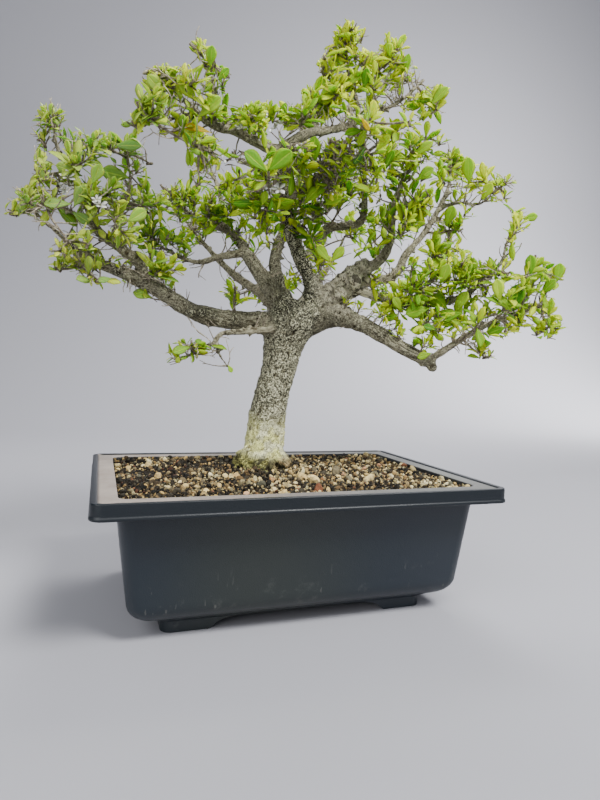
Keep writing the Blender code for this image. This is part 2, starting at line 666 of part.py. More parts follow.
def gravel_relief():
    """A slab whose top is a grid raised into small stones by seeded noise."""
    draw = random.Random(SEED)
    size_x = POT_WIDTH - 2 * WALL_INSET_TOP + 2 * GRAVEL_CELL
    size_y = POT_DEPTH - 2 * WALL_INSET_TOP + 2 * GRAVEL_CELL
    shape = bmesh.new()
    bmesh.ops.create_grid(shape, x_segments=round(size_x / GRAVEL_CELL),
                          y_segments=round(size_y / GRAVEL_CELL), size=0.5)
    for vert in shape.verts:
        x = vert.co.x * size_x + draw.uniform(-GRAVEL_JITTER, GRAVEL_JITTER) * GRAVEL_CELL
        y = vert.co.y * size_y + draw.uniform(-GRAVEL_JITTER, GRAVEL_JITTER) * GRAVEL_CELL
        vert.co = (x, y, soil_height(x, y) + draw.uniform(-0.5, 0.5) * GRAVEL_RELIEF)
    bmesh.ops.triangulate(shape, faces=shape.faces)
    rim = [edge for edge in shape.edges if edge.is_boundary]
    drawn = bmesh.ops.extrude_edge_only(shape, edges=rim)["geom"]
    bottom = [part for part in drawn if isinstance(part, bmesh.types.BMVert)]
    for vert in bottom:
        vert.co.z = 0.0
    bmesh.ops.contextual_create(shape, geom=[e for e in shape.edges if e.is_boundary])
    bmesh.ops.recalc_face_normals(shape, faces=shape.faces)
    mesh = bpy.data.meshes.new("gravel_relief")
    shape.to_mesh(mesh)
    shape.free()
    return mesh


def scatter_stones(group):
    """Larger stones half sunk in the gravel, none at the wall, the trunk or on one another."""
    draw = random.Random(SEED + 1)
    half_x = POT_WIDTH / 2 - WALL_INSET_TOP - POT_WALL
    half_y = POT_DEPTH / 2 - WALL_INSET_TOP - POT_WALL
    placed = []
    while len(placed) < STONES:
        radius = draw.uniform(*STONE_RADII)
        x = draw.uniform(-1, 1) * (half_x - radius - STONE_TO_WALL)
        y = draw.uniform(-1, 1) * (half_y - radius - STONE_TO_WALL)
        to_trunk = math.hypot(x - TRUNK_FOOT[0] * MM, y - TRUNK_FOOT[1] * MM)
        crowded = any(math.hypot(x - a, y - b) < 0.9 * (radius + r) for a, b, r in placed)
        if to_trunk < STONE_TO_TRUNK + radius or crowded:
            continue
        placed.append((x, y, radius))
        shape = bmesh.new()
        bmesh.ops.create_icosphere(shape, subdivisions=1, radius=radius)
        stretch = Matrix.Diagonal((1, draw.uniform(0.7, 0.95), draw.uniform(0.55, 0.75), 1))
        turn = Matrix.Rotation(draw.uniform(0, math.tau), 4, "Z")
        tip = Matrix.Rotation(draw.uniform(-0.3, 0.3), 4, "X")
        lift = Matrix.Translation((x, y, soil_height(x, y) - 0.1 * radius))
        bmesh.ops.transform(shape, matrix=lift @ turn @ tip @ stretch, verts=shape.verts)
        mesh = bpy.data.meshes.new("stone")
        shape.to_mesh(mesh)
        shape.free()
        mesh_object("stone", mesh, group)


def build_soil(group, cutters, material):
    """The block that fills the pot, topped with gravel, with a plain hole for the trunk's foot."""
    inset = POT_WALL + GAP
    rings = wall_rings(inset, POT_FLOOR_INSIDE + GAP, BODY_CORNER - inset, INNER_FOOT_STEPS)
    soil = mesh_object("soil", loft(rings), group)
    mesh_object("relief", gravel_relief(), cutters)
    boolean(soil, "INTERSECT", cutters)
    scatter_stones(cutters)
    boolean(soil, "UNION", cutters)
    collapse_seams(soil.data, SOIL_SEAM)
    foot_tubes(cutters, HOLE_GAP)
    boolean(soil, "DIFFERENCE", cutters)
    keep_largest_body(soil.data)
    soil.data.materials.clear()
    soil.data.materials.append(material)
    return soil


def build_wood(group, cutters, material):
    """The trunk, its roots and all branches, joined into one grown piece."""
    tubes = foot_tubes(cutters, 0.0)
    wood = tubes[0]
    cutters.objects.unlink(wood)
    group.objects.link(wood)
    wood.name = "tree_wood"
    for name, (sides, rows) in BRANCHES.items():
        if name == "trunk":
            continue
        stations = stations_in_metres(rows)
        shaped_tube(name, stations, stations, sides, cutters)
    boolean(wood, "UNION", cutters)
    keep_largest_body(wood.data)
    collapse_seams(wood.data, WOOD_SEAM, WOOD_SEAM_ABOVE)
    wood.data.materials.clear()
    wood.data.materials.append(material)
    return wood


class Obstacle:
    """A closed shape that later pieces keep clear of."""

    def __init__(self, points, faces):
        self.low = points.min(axis=0)
        self.high = points.max(axis=0)
        self.tree = BVHTree.FromPolygons(points.tolist(), faces)

    def near(self, other):
        """Whether the two boxes meet."""
        return bool(np.all(self.low <= other.high) and np.all(other.low <= self.high))

    def holds(self, point):
        """Whether a point lies inside."""
        place, normal, _, _ = self.tree.find_nearest(point)
        return (Vector(point) - place).dot(normal) < 0


def mesh_arrays(mesh):
    """A mesh's points as an array, and its faces as lists of indices."""
    points = np.empty(len(mesh.vertices) * 3, dtype=np.float32)
    mesh.vertices.foreach_get("co", points)
    return points.reshape(-1, 3).astype(float), [list(face.vertices) for face in mesh.polygons]


def clear_of(shape, obstacles):
    """Whether a shape crosses none of the obstacles."""
    return not any(shape.near(other) and shape.tree.overlap(other.tree) for other in obstacles)


def guard_tube(path, radii, margin):
    """A tube with a margin all round a path, used only to test for room."""
    sides = GUARD_SIDES
    rings = []
    count = len(path)
    for i, (place, radius) in enumerate(zip(path, radii)):
        ahead = (path[min(i + 1, count - 1)] - path[max(i - 1, 0)]).normalized()
        side = ahead.orthogonal().normalized()
        other = ahead.cross(side)
        reach = (radius + margin) / math.cos(math.pi / sides)
        end_shift = {0: -margin, count - 1: margin}.get(i, 0.0)
        middle = place + ahead * end_shift
        rings.append([middle + (side * math.cos(a) + other * math.sin(a)) * reach
                      for a in (math.tau * k / sides for k in range(sides))])
    points = np.array([list(point) for ring in rings for point in ring])
    faces = [[i * sides + k, i * sides + (k + 1) % sides, (i + 1) * sides + (k + 1) % sides,
              (i + 1) * sides + k] for i in range(count - 1) for k in range(sides)]
    faces += [list(range(sides))[::-1], [(count - 1) * sides + k for k in range(sides)]]
    return Obstacle(points, faces)


def point_along(path, distance):
    """The point this far along a path, and the rest of the path after it."""
    left = distance
    for i in range(len(path) - 1):
        step = (path[i + 1] - path[i]).length
        if left < step:
            start = path[i].lerp(path[i + 1], left / step)
            return start, [start] + path[i + 1:]
        left -= step
    return path[-1], [path[-1]]


def bent_path(start, end, bend, pieces):
    """A path that bows sideways by a vector, in equal steps."""
    path = []
    for i in range(pieces + 1):
        t = i / pieces
        path.append(start.lerp(end, t) + bend * (4 * t * (1 - t)))
    return path


def twig_radii(path, base_radius):
    """A taper from the base to the tip."""
    last = len(path) - 1
    return [base_radius + (TWIG_TIP_RADIUS - base_radius) * i / last for i in range(len(path))]


def path_point(path, share):
    """A point at a share of a path's length."""
    total = sum((b - a).length for a, b in zip(path, path[1:]))
    return point_along(path, share * total * 0.9999)[0]


def base_on_branch(branch_path, target):
    """Where a twig leaves its branch: back from the nearest point, so that it leans forward."""
    best = (1e9, 0.0)
    travelled = 0.0
    for a, b in zip(branch_path, branch_path[1:]):
        length = (b - a).length
        share = max(0.0, min(1.0, (target - a).dot(b - a) / length ** 2))
        distance = (a.lerp(b, share) - target).length
        best = min(best, (distance, travelled + share * length))
        travelled += length
    distance, along = best
    along = max(BRANCH_BARE_SHARE * travelled, along - TWIG_LEAN * distance)
    return point_along(branch_path, min(along, travelled - WELD))[0]


def bend_side(draw):
    """A random way for a twig to bow, more often down than up."""
    return Vector((draw.uniform(-1, 1), draw.uniform(-1, 1), draw.uniform(-0.8, 0.4)))


def grow_twig(start, end, carriers, others, draw, base_radius):
    """A free path from a carrier to a tuft. It begins where it first clears the carrier's surface."""
    span = (end - start).length
    pieces = 2 if span < TWIG_LONG else 3
    for attempt in range(TRIES):
        bend = bend_side(draw) * span * (0.05 + 0.02 * attempt)
        path = bent_path(start, end, bend, pieces)
        for step in range(TWIG_START_STEPS):
            begin, rest = point_along(path, step * TWIG_START_STEP)
            if len(rest) < 3 and step > 0 and (rest[-1] - rest[0]).length < TWIG_SHORTEST:
                break
            if (rest[1] - rest[0]).length < 2 * MM and len(rest) > 2:
                rest = [rest[0]] + rest[2:]
            guard = guard_tube(rest, twig_radii(rest, base_radius), GAP)
            if any(other.holds(begin) for other in carriers):
                continue
            if clear_of(guard, carriers):
                if clear_of(guard, others):
                    return rest
                break
    return None


def leaf_template(arch, fold, group, thickness=LEAF_THICKNESS, widen=1.0, from_share=0.0):
    """A wedge-shaped blade with a blunt toothed end, arched along its rib and folded about it.

    It lies along +Y from its root, with its face up. A wider and thicker copy tests for room.
    """
    length = LEAF_LENGTH
    half = LEAF_HALF_WIDTH * widen

    def place(across, along):
        lift = arch * length * math.sin(math.pi * along) + fold * abs(across) * LEAF_HALF_WIDTH
        stretched = 0.5 + (along - 0.5) * (1 + (widen - 1) / 3)
        return (across * half, stretched * length, lift)

    root = place(0, from_share)
    shape = bmesh.new()
    rib = [shape.verts.new(root), shape.verts.new(place(0, 1.0))]
    for side in (1, -1):
        wide = shape.verts.new(place(side, 0.62))
        tooth = shape.verts.new(place(0.68 * side, 0.92))
        shape.faces.new((rib[0], wide, tooth))
        shape.faces.new((rib[0], tooth, rib[1]))
    bmesh.ops.recalc_face_normals(shape, faces=shape.faces)
    mesh = bpy.data.meshes.new("blade")
    shape.to_mesh(mesh)
    shape.free()
    item = mesh_object("blade", mesh, group)
    solid = item.modifiers.new("thickness", "SOLIDIFY")
    solid.thickness = thickness
    solid.offset = 0.0
    blade = welded_mesh(item)
    remove_object(item)
    return blade


def leaf_matrix(root, along, up, scale):
    """A frame with +Y along the blade and +Z out of its face."""
    along = along.normalized()
    across = along.cross(up).normalized()
    face = across.cross(along).normalized()
    turn = Matrix((across, along, face)).transposed().to_4x4()
    return Matrix.Translation(root) @ turn @ Matrix.Scale(scale, 4)


def moved_arrays(arrays, matrix):
    """The points of a template under a matrix, with its faces."""
    points, faces = arrays
    turned = points @ np.array(matrix.to_3x3()).T + np.array(matrix.translation)
    return turned, faces


class Spray:
    """One leafy twig with its forks, its tufts and its leaves."""

    def __init__(self, name, twigs):
        self.name = name
        self.twigs = twigs
        self.guards = [guard_tube(path, radii, 0.0) for path, radii in twigs]
        self.leaves = []
        self.blades = []


def twig_end(start, tuft):
    """Where a twig stops short of its tuft's middle, as its leaves reach on from its tip."""
    return tuft.lerp(start, min(TUFT_REACH / (tuft - start).length, 0.4))


def plan_sprays(branch_paths, wood, draw):
    """The twigs of every spray, each clear of the wood and of the twigs before it."""
    sprays = []
    counts = {}
    for branch, tufts in SPRAYS:
        counts[branch] = counts.get(branch, 0) + 1
        name = f"spray_{branch}_{counts[branch]}"
        others = [guard for spray in sprays for guard in spray.guards]
        tips = [Vector(tuft) * MM for tuft in tufts]
        start = base_on_branch(branch_paths[branch], tips[0])
        main = grow_twig(start, twig_end(start, tips[0]), [wood], others, draw, TWIG_BASE_RADIUS)
        if main is None:
            continue
        twigs = [(main, twig_radii(main, TWIG_BASE_RADIUS))]
        for order, tip in enumerate(tips[1:]):
            fork = path_point(main, FORK_PLACES[order])
            end = twig_end(fork, tip)
            length = (end - fork).length
            pieces = 1 if length < FORK_LONG else 2
            for attempt in range(TRIES):
                bend = bend_side(draw) * length * (0.06 + 0.02 * attempt)
                path = bent_path(fork, end, bend, pieces)
                radii = twig_radii(path, FORK_RADIUS)
                guard = guard_tube(path, radii, GAP)
                if clear_of(guard, others + [wood]):
                    twigs.append((path, radii))
                    break
        sprays.append(Spray(name, twigs))
    return sprays


def grow_leaves(sprays, wood, flowers, templates, draw):
    """Blades round every tuft: tip first, then back along the twig, a golden angle apart."""
    for rank in range(LEAVES_PER_TUFT):
        for spray in sprays:
            others = [wood] + flowers
            for other in sprays:
                if other is not spray:
                    others += other.guards + other.leaves
            twigs = spray.twigs if rank < LEAVES_PER_FORK else spray.twigs[:1]
            for path, _ in twigs:
                place_leaf(spray, path, rank, others, templates, draw)


def place_leaf(spray, path, rank, others, templates, draw):
    """Try directions and sizes for one blade until it has room."""
    tip = path[-1]
    ahead = (path[-1] - path[-2]).normalized()
    side = ahead.cross(Vector((0, 0, 1)))
    side = side.normalized() if side.length > 0.05 else Vector((1, 0, 0))
    over = side.cross(ahead)
    back = min(LEAF_BACK + LEAF_SPACING * rank, 0.6 * (path[-1] - path[-2]).length)
    root = tip - ahead * back
    for attempt in range(TRIES):
        angle = GOLDEN_ANGLE * rank + draw.uniform(-0.5, 0.5) * (1 + 0.3 * attempt)
        opening = math.radians(draw.uniform(*LEAF_OPENING) + 12 * rank + 2 * attempt)
        radial = over * math.cos(angle) + side * math.sin(angle)
        along = ahead * math.cos(opening) + radial * math.sin(opening) + Vector((0, 0, LEAF_LIFT))
        up = ahead * 0.6 - radial * 0.3 + Vector((0, 0, 0.8))
        if along.normalized().cross(up).length < 0.3:
            up = up + side
        scale = max(LEAF_SCALES[0], draw.uniform(*LEAF_SCALES) - 0.02 * attempt)
        matrix = leaf_matrix(root, along, up, scale)
        blade, guard, outer = draw.choice(templates)
        if not clear_of(Obstacle(*moved_arrays(guard[1], matrix)), others):
            continue
        free_part = Obstacle(*moved_arrays(outer[1], matrix))
        if not clear_of(free_part, spray.guards + spray.leaves):
            continue
        spray.leaves.append(Obstacle(*moved_arrays(blade[1], matrix)))
        spray.blades.append((blade[0], matrix))
        return


def build_spray(spray, group, cutters, material):
    """The main twig joined with its forks and blades in one union. A blade that breaks it is left out."""
    for count in range(len(spray.blades), 0, -1):
        path, radii = spray.twigs[0]
        item = curve_tube(spray.name, list(zip(path, radii)), 4, group)
        for path, radii in spray.twigs[1:]:
            curve_tube("fork", list(zip(path, radii)), 4, cutters)
        for blade, matrix in spray.blades[:count]:
            mesh = blade.copy()
            mesh.transform(matrix)
            mesh_object("blade", mesh, cutters)
        boolean(item, "UNION", cutters)
        if is_closed(item.data) or count == 1:
            break
        remove_object(item)
    keep_largest_body(item.data)
    collapse_seams(item.data, SPRAY_SEAM)
    item.data.materials.clear()
    item.data.materials.append(material)
    return item


def star_mesh(centre, facing, group):
    """Five petals as one shallow star, thickened."""
    frame = leaf_matrix(centre, facing.orthogonal(), facing, 1.0)
    shape = bmesh.new()
    hub = shape.verts.new(frame @ Vector((0, 0, 0)))
    rim = []
    for k in range(2 * FLOWER_PETALS):
        angle = math.pi * k / FLOWER_PETALS
        reach = FLOWER_RADIUS if k % 2 == 0 else 0.45 * FLOWER_RADIUS
        lift = 0.18 * reach
        rim.append(shape.verts.new(frame @ Vector((reach * math.cos(angle), reach * math.sin(angle), lift))))
    for k in range(len(rim)):
        shape.faces.new((hub, rim[k], rim[(k + 1) % len(rim)]))
    bmesh.ops.recalc_face_normals(shape, faces=shape.faces)
    mesh = bpy.data.meshes.new("petals")
    shape.to_mesh(mesh)
    shape.free()
    item = mesh_object("petals", mesh, group)
    solid = item.modifiers.new("thickness", "SOLIDIFY")
    solid.thickness = LEAF_THICKNESS
    solid.offset = 0.0
    petals = welded_mesh(item)
    remove_object(item)
    return petals


def nearest_twig_point(target, sprays):
    """The nearest point on any spray's twigs."""
    best = None
    for spray in sprays:
        for path, _ in spray.twigs:
            for a, b in zip(path, path[1:]):
                share = max(0.0, min(1.0, (target - a).dot(b - a) / (b - a).length_squared))
                point = a.lerp(b, share)
                distance = (point - target).length
                if best is None or distance < best[0]:
                    best = (distance, point)
    return best[1]


def build_flowers(sprays, wood, group, cutters, material):
    """Each flower: a star on a short stalk that stands clear of the twig that bears it."""
    obstacles = []
    for number, place in enumerate(FLOWERS, start=1):
        wanted = Vector(place) * MM
        seat = nearest_twig_point(wanted, sprays)
        out = (wanted - seat).normalized()
        guards = [wood] + [guard for spray in sprays for guard in spray.guards]
        stalk = None
        for step in range(STALK_STEPS):
            begin = seat + out * (TWIG_TIP_RADIUS + step * STALK_STEP)
            end = begin + out * FLOWER_STALK
            if clear_of(guard_tube([begin, end], [STALK_RADIUS] * 2, GAP), guards):
                stalk = (begin, end)
                break
        if stalk is None:
            continue
        name = f"flower_{number}"
        flower = curve_tube(name, [(end, STALK_RADIUS) for end in stalk], 4, group)
        petals = star_mesh(stalk[1] - out * 0.5 * MM, out, cutters)
        mesh_object("petals", petals, cutters)
        boolean(flower, "UNION", cutters)
        collapse_seams(flower.data, SPRAY_SEAM)
        flower.data.materials.clear()
        flower.data.materials.append(material)
        obstacles.append(Obstacle(*mesh_arrays(flower.data)))
        obstacles.append(guard_tube([stalk[0], stalk[1] + out * 2 * MM], [FLOWER_RADIUS] * 2, 0.0))
    return obstacles


def make_templates(group):
    """Three blades, each with a larger copy that tests for room and its own outer part."""
    templates = []
    for arch, fold in LEAF_SHAPES:
        blade = leaf_template(arch, fold, group)
        guard = leaf_template(arch, fold, group, LEAF_THICKNESS + 2 * GAP, GUARD_WIDEN)
        outer = leaf_template(arch, fold, group, from_share=FREE_FROM_SHARE)
        templates.append(tuple((mesh, mesh_arrays(mesh)) for mesh in (blade, guard, outer)))
    return templates


def main():
    """Build every node, then hang all of them on one empty."""
    clear_scene()
    group = new_collection("fukien_tea_bonsai")
    cutters = new_collection("cutters")
    materials = {name: make_material(name) for name in MATERIALS}
    build_pot(group, cutters, materials["pot_plastic"])
    build_soil(group, cutters, materials["gravel"])
    tree = build_wood(group, cutters, materials["bark"])
    wood = Obstacle(*mesh_arrays(tree.data))
    draw = random.Random(SEED + 2)
    branch_paths = {name: [Vector(row[:3]) * MM for row in rows] for name, (_, rows) in BRANCHES.items()}
    sprays = plan_sprays(branch_paths, wood, draw)
    flowers = build_flowers(sprays, wood, group, cutters, materials["petal_white"])
    grow_leaves(sprays, wood, flowers, make_templates(cutters), draw)
    for spray in sprays:
        build_spray(spray, group, cutters, materials["leaf_green"])
    frame = bpy.data.objects.new("bonsai_frame", None)
    bpy.context.scene.collection.objects.link(frame)
    frame.location = POT_CENTRE
    for item in group.objects:
        item.parent = frame
        if item.name in ("pot", "tree_wood"):
            item.data.shade_smooth()
            item.data.set_sharp_from_angle(angle=math.radians(40))


main()
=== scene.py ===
"""The looks of a fukien tea bonsai in its training pot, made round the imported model.

Lengths are millimetres in the pot's own frame, with X to the right along its front, Y away from the
front and Z up from the ground. The last step of every piece turns them into metres and moves them to
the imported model's frame.
"""
import math

import bpy
import numpy as np
from mathutils import Matrix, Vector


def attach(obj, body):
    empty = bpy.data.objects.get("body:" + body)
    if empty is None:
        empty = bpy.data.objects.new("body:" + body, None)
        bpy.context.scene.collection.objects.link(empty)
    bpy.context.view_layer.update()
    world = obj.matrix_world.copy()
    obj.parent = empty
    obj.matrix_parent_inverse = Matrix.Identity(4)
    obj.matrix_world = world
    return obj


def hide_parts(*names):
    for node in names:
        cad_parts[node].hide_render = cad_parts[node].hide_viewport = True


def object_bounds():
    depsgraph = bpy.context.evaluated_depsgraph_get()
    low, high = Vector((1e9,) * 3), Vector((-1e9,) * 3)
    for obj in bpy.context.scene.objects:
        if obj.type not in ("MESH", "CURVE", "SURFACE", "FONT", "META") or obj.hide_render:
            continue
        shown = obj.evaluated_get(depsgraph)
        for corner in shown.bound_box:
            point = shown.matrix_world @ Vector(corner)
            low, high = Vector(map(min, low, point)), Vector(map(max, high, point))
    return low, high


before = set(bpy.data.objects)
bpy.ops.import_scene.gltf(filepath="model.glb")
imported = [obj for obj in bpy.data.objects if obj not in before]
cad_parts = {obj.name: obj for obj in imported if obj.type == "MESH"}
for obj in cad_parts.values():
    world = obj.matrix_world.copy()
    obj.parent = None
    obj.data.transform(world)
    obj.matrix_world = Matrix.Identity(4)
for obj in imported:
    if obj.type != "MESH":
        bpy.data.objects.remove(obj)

CAD_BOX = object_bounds()
MM = 0.001
POT_CENTRE = np.array((-19.0, -35.0, 0.0))
TAU = math.tau
GOLDEN_ANGLE = math.radians(137.5)
SEED = 1712

# Pot: half sizes of the rim's outside, the wall's inset from it at the top and at the foot, thickness
# and round corners, the levels of the flange and the wall's foot, the points of the curve at that foot,
# and the levels of the floor's two faces
POT_HALF = (190.0, 134.0)
WALL_INSET = (19.2, 29.5)
WALL_THICK = 2.5
WALL_CORNER = 14.0
FLANGE_UNDERSIDE = 126.0
WALL_FOOT_Z = 35.0
WALL_CURVE_POINTS = 9
POT_FLOOR = (15.0, 18.0)
# The skirt and the flange in section, from the wall's outside round to its inside: inset, corner, height
SKIRT = [
    (2.5, 8, 126), (2.5, 8, 115), (-1, 11, 115), (-1, 11, 117.2), (0, 10, 118.6), (0, 10, 128.7),
    (4.6, 7, 128.7), (5.8, 6.5, 126.9), (7.4, 6, 127.8), (21.2, 9, 127.8), (21.7, 11.5, 126)]
SKIRT_ROUNDING = 0.9
# Angles from which an edge of the shell, or of the feet, looks sharp
POT_CREASE = math.radians(38)
FEET_CREASE = math.radians(30)
# Feet and plinth: half sizes, corner, wall and levels. An arch's two half widths are at its top and at
# its foot, and a long side of the foot has so many steps for it
FOOT_HALF = (130.0, 82.0)
FOOT_CORNER = 10.0
FOOT_WALL = 12.0
PLINTH_Z = 10.0
PLINTH_HALF = (138.0, 89.0)
PLINTH_EDGE_Z = 14.6
PLINTH_TOP_Z = 16.2
ARCH_FRONT = (57.0, 85.0)
ARCH_SIDE = (35.0, 50.0)
ARCH_STEPS = 60
DRAIN_PLACES = [(x, y) for x in (-75, 0, 75) for y in (-42, 42)]
DRAIN_RADIUS = 5.0
DRAIN_SIDES = 24
DRILL_ENDS = (12.0, 22.0)

# Soil: its height at the wall, the mounds over the bed and round the trunk (height and width), the
# rises, the gap to the wall, the trunk's place, and how far the stones stay from its middle
SOIL_AT_WALL = 119.5
SOIL_MOUND = 3.5
SOIL_AT_TRUNK = (3.5, 45.0)
SOIL_BACK_RISE = 6.0
SOIL_RIGHT_RISE = 4.0
SOIL_GAP = 0.3
TRUNK_FOOT = (-7.0, 45.0)
TRUNK_CLEARANCE = 21.0
# The soil's top: how far it lies under the stones' level, how rough it is, and its shrinking rings
SOIL_SINK = 1.5
SOIL_ROUGHNESS = 1.2
SOIL_RINGS = 70

# Gravel: name, cell of its grid, splits of its ball, radii, margin to the wall, lift, and brightness
GRAVEL_KINDS = [
    ("fine_gravel", 3.9, 0, (1.1, 2.2), 1.4, 0.0, 0.68), ("gravel", 5.0, 0, (1.5, 2.7), 2.2, 0.5, 0.92),
    ("coarse_gravel", 12.5, 1, (2.3, 4.1), 4.5, 1.0, 1.0)]
RED_SHARE = 0.03
# The level at which the largest stones' sight lines end, and how far over the soil their middles lie
BED_LEVEL = 124.5
LARGE_STONE_LIFT = 1.5

# Where the gravel lies dark with soil in the photograph's frame: middle, half width and half height
DARK_SOIL = [
    (205, 463, 40, 7), (138, 484, 26, 7), (165, 474, 34, 6), (365, 488, 48, 5), (262, 473, 13, 7),
    (232, 466, 12, 8), (325, 456, 24, 5), (130, 461, 14, 4)]
# The largest stones: where each shows, its radius in millimetres, brightness, and shares of tan and red
LARGE_STONES = [
    (301, 477, 7.5, 0.72, 0.9, 0.0), (314, 481, 8.5, 0.80, 0.95, 0.0), (336, 473, 8, 0.50, 0.2, 0.0),
    (369, 479, 8, 0.78, 0.6, 0.0), (255, 479, 5, 0.85, 0.3, 0.0), (318, 488, 6.5, 0.3, 1.0, 0.9),
    (272, 480, 5.5, 0.62, 1.0, 0.5), (242, 482, 5, 0.60, 0.2, 0.0), (158, 475, 5, 0.72, 1.0, 0.1),
    (225, 476, 4.5, 0.78, 0.8, 0.0), (288, 485, 6, 0.82, 0.5, 0.0), (236, 476, 4.5, 0.7, 0.9, 0.2),
    (395, 474, 5, 0.6, 0.8, 0.1), (404, 466, 5, 0.35, 1.0, 0.8), (412, 470, 5.5, 0.66, 0.4, 0.0),
    (348, 478, 6, 0.5, 0.1, 0.0), (262, 484, 5, 0.45, 0.0, 0.0), (148, 466, 5, 0.7, 0.8, 0.0)]

# Knobs of root in front of the trunk: X and Y from its foot, height over the soil, radius
ROOT_KNOBS = [
    (-20, -6, 10, 11), (-27, -2, 6, 7), (-17, -15, 12, 8), (-24, -14, 7, 7), (-19, -9, 17, 7.5),
    (-25, -8, 12, 6), (-13, -19, 13, 6), (-28, 6, 4, 6.5), (-6, -21, 13, 6.5), (2, -22, 12, 6),
    (9, -20, 12, 6), (-24, -21, 1, 4.5), (3, -28, 7, 4.5), (4, -33, 3, 4.2), (5, -38, 0, 4.2),
    (7, -43, -2, 3.6), (16, -16, 12, 6), (21, -10, 11, 6), (25, -4, 9, 6), (15, -25, 7, 5),
    (17, -31, 4, 4.6), (24, -18, 7, 5), (29, -10, 5, 5), (29, 4, 2, 4.5), (24, 12, 4, 5),
    (-31, -10, 0, 4), (10, -48, -2, 3.2), (21, -27, 4, 4.4)]

# Burls and knots at fixed places: x, y, z and radius. Others lie at random along four branches: how
# many, and their radii. On the trunk they start at a share of its length
KNOTS = [
    (16, 24, 286, 9), (44, 30, 300, 11), (70, 20, 322, 9), (88, 18, 338, 8), (34, 66, 300, 9),
    (2, 52, 270, 7), (58, 52, 306, 9), (80, 48, 330, 9), (95, 36, 330, 8), (155, -43, 244, 5.5)]
BURLS = {
    "knob": (34, (3.5, 7.5)), "trunk": (26, (4.0, 8.0)), "low_left": (16, (2.5, 5.0)),
    "low_right": (12, (3.0, 5.0))}
TRUNK_BURLS_FROM = 0.72
KNOB_MIDDLE = (84, 28, 334)
# Burls round the trunk's foot: how many, how far out, and their radii
FOOT_BURLS = 40
FOOT_BURL_OUT = (17, 26)
FOOT_BURL_RADII = (2.5, 5.5)
# Surface roots: how many, how far they reach, how high they start, and their radii
ROOTS = 15
ROOT_REACH = (12, 34)
ROOT_START_Z = (126, 136)
ROOT_RADII = (2.4, 5.0)
# Spurs: how far they stand out of a branch, and their radii
SPUR_REACH = (1.5, 6.0)
SPUR_RADII = (1.4, 2.4)
# Sides of the tubes of thick and thin branches, and the radius that parts them
BRANCH_SIDES = (28, 14)
THICK_RADIUS = 12
# The bark's voxel, the step along every path, and the thick wood that has no shoots of its own
VOXEL = 1.62
PATH_STEP = 2.5
NO_SHOOTS = ("trunk", "knob")
# The crown's middle and its reach, and the place that bare twigs lean away from
CROWN_MIDDLE = np.array((10.0, 30.0, 420.0))
CROWN_REACH = (260, 170, 190)
TWIGS_FROM = np.array((10.0, 20.0, 380.0))
# Bare twigs on branches and on sprays, and the share of them that fork
TWIGS_ON_WOOD = 1050
TWIGS_ON_SPRAYS = 900
FORKED_SHARE = 0.6
# Leaves: half of a blade's thickness, the half widths of small and large ones as shares of the length,
# and how far in front of their twigs large green and orange ones lie
HALF_THICKNESS = 0.14
SMALL_HALF_WIDTHS = (0.15, 0.22)
LARGE_HALF_WIDTHS = (0.27, 0.33)
LARGE_NEARER = 13
ORANGE_NEARER = 22
# How far a tuft's twig ends under its place in the table, and the longest stalk of an inner shoot
TUFT_DROP = 8
LONGEST_STALK = 24
# How much a carrier's depth counts against its distance from a line of sight
DEPTH_WEIGHT = 0.12
# Petal lengths of the blossoms and of the half-open stars, and how many tufts of moss are drawn
BLOSSOM_SIZE = 7.5
STAR_SIZE = 5.0
MOSS_COUNT = 700

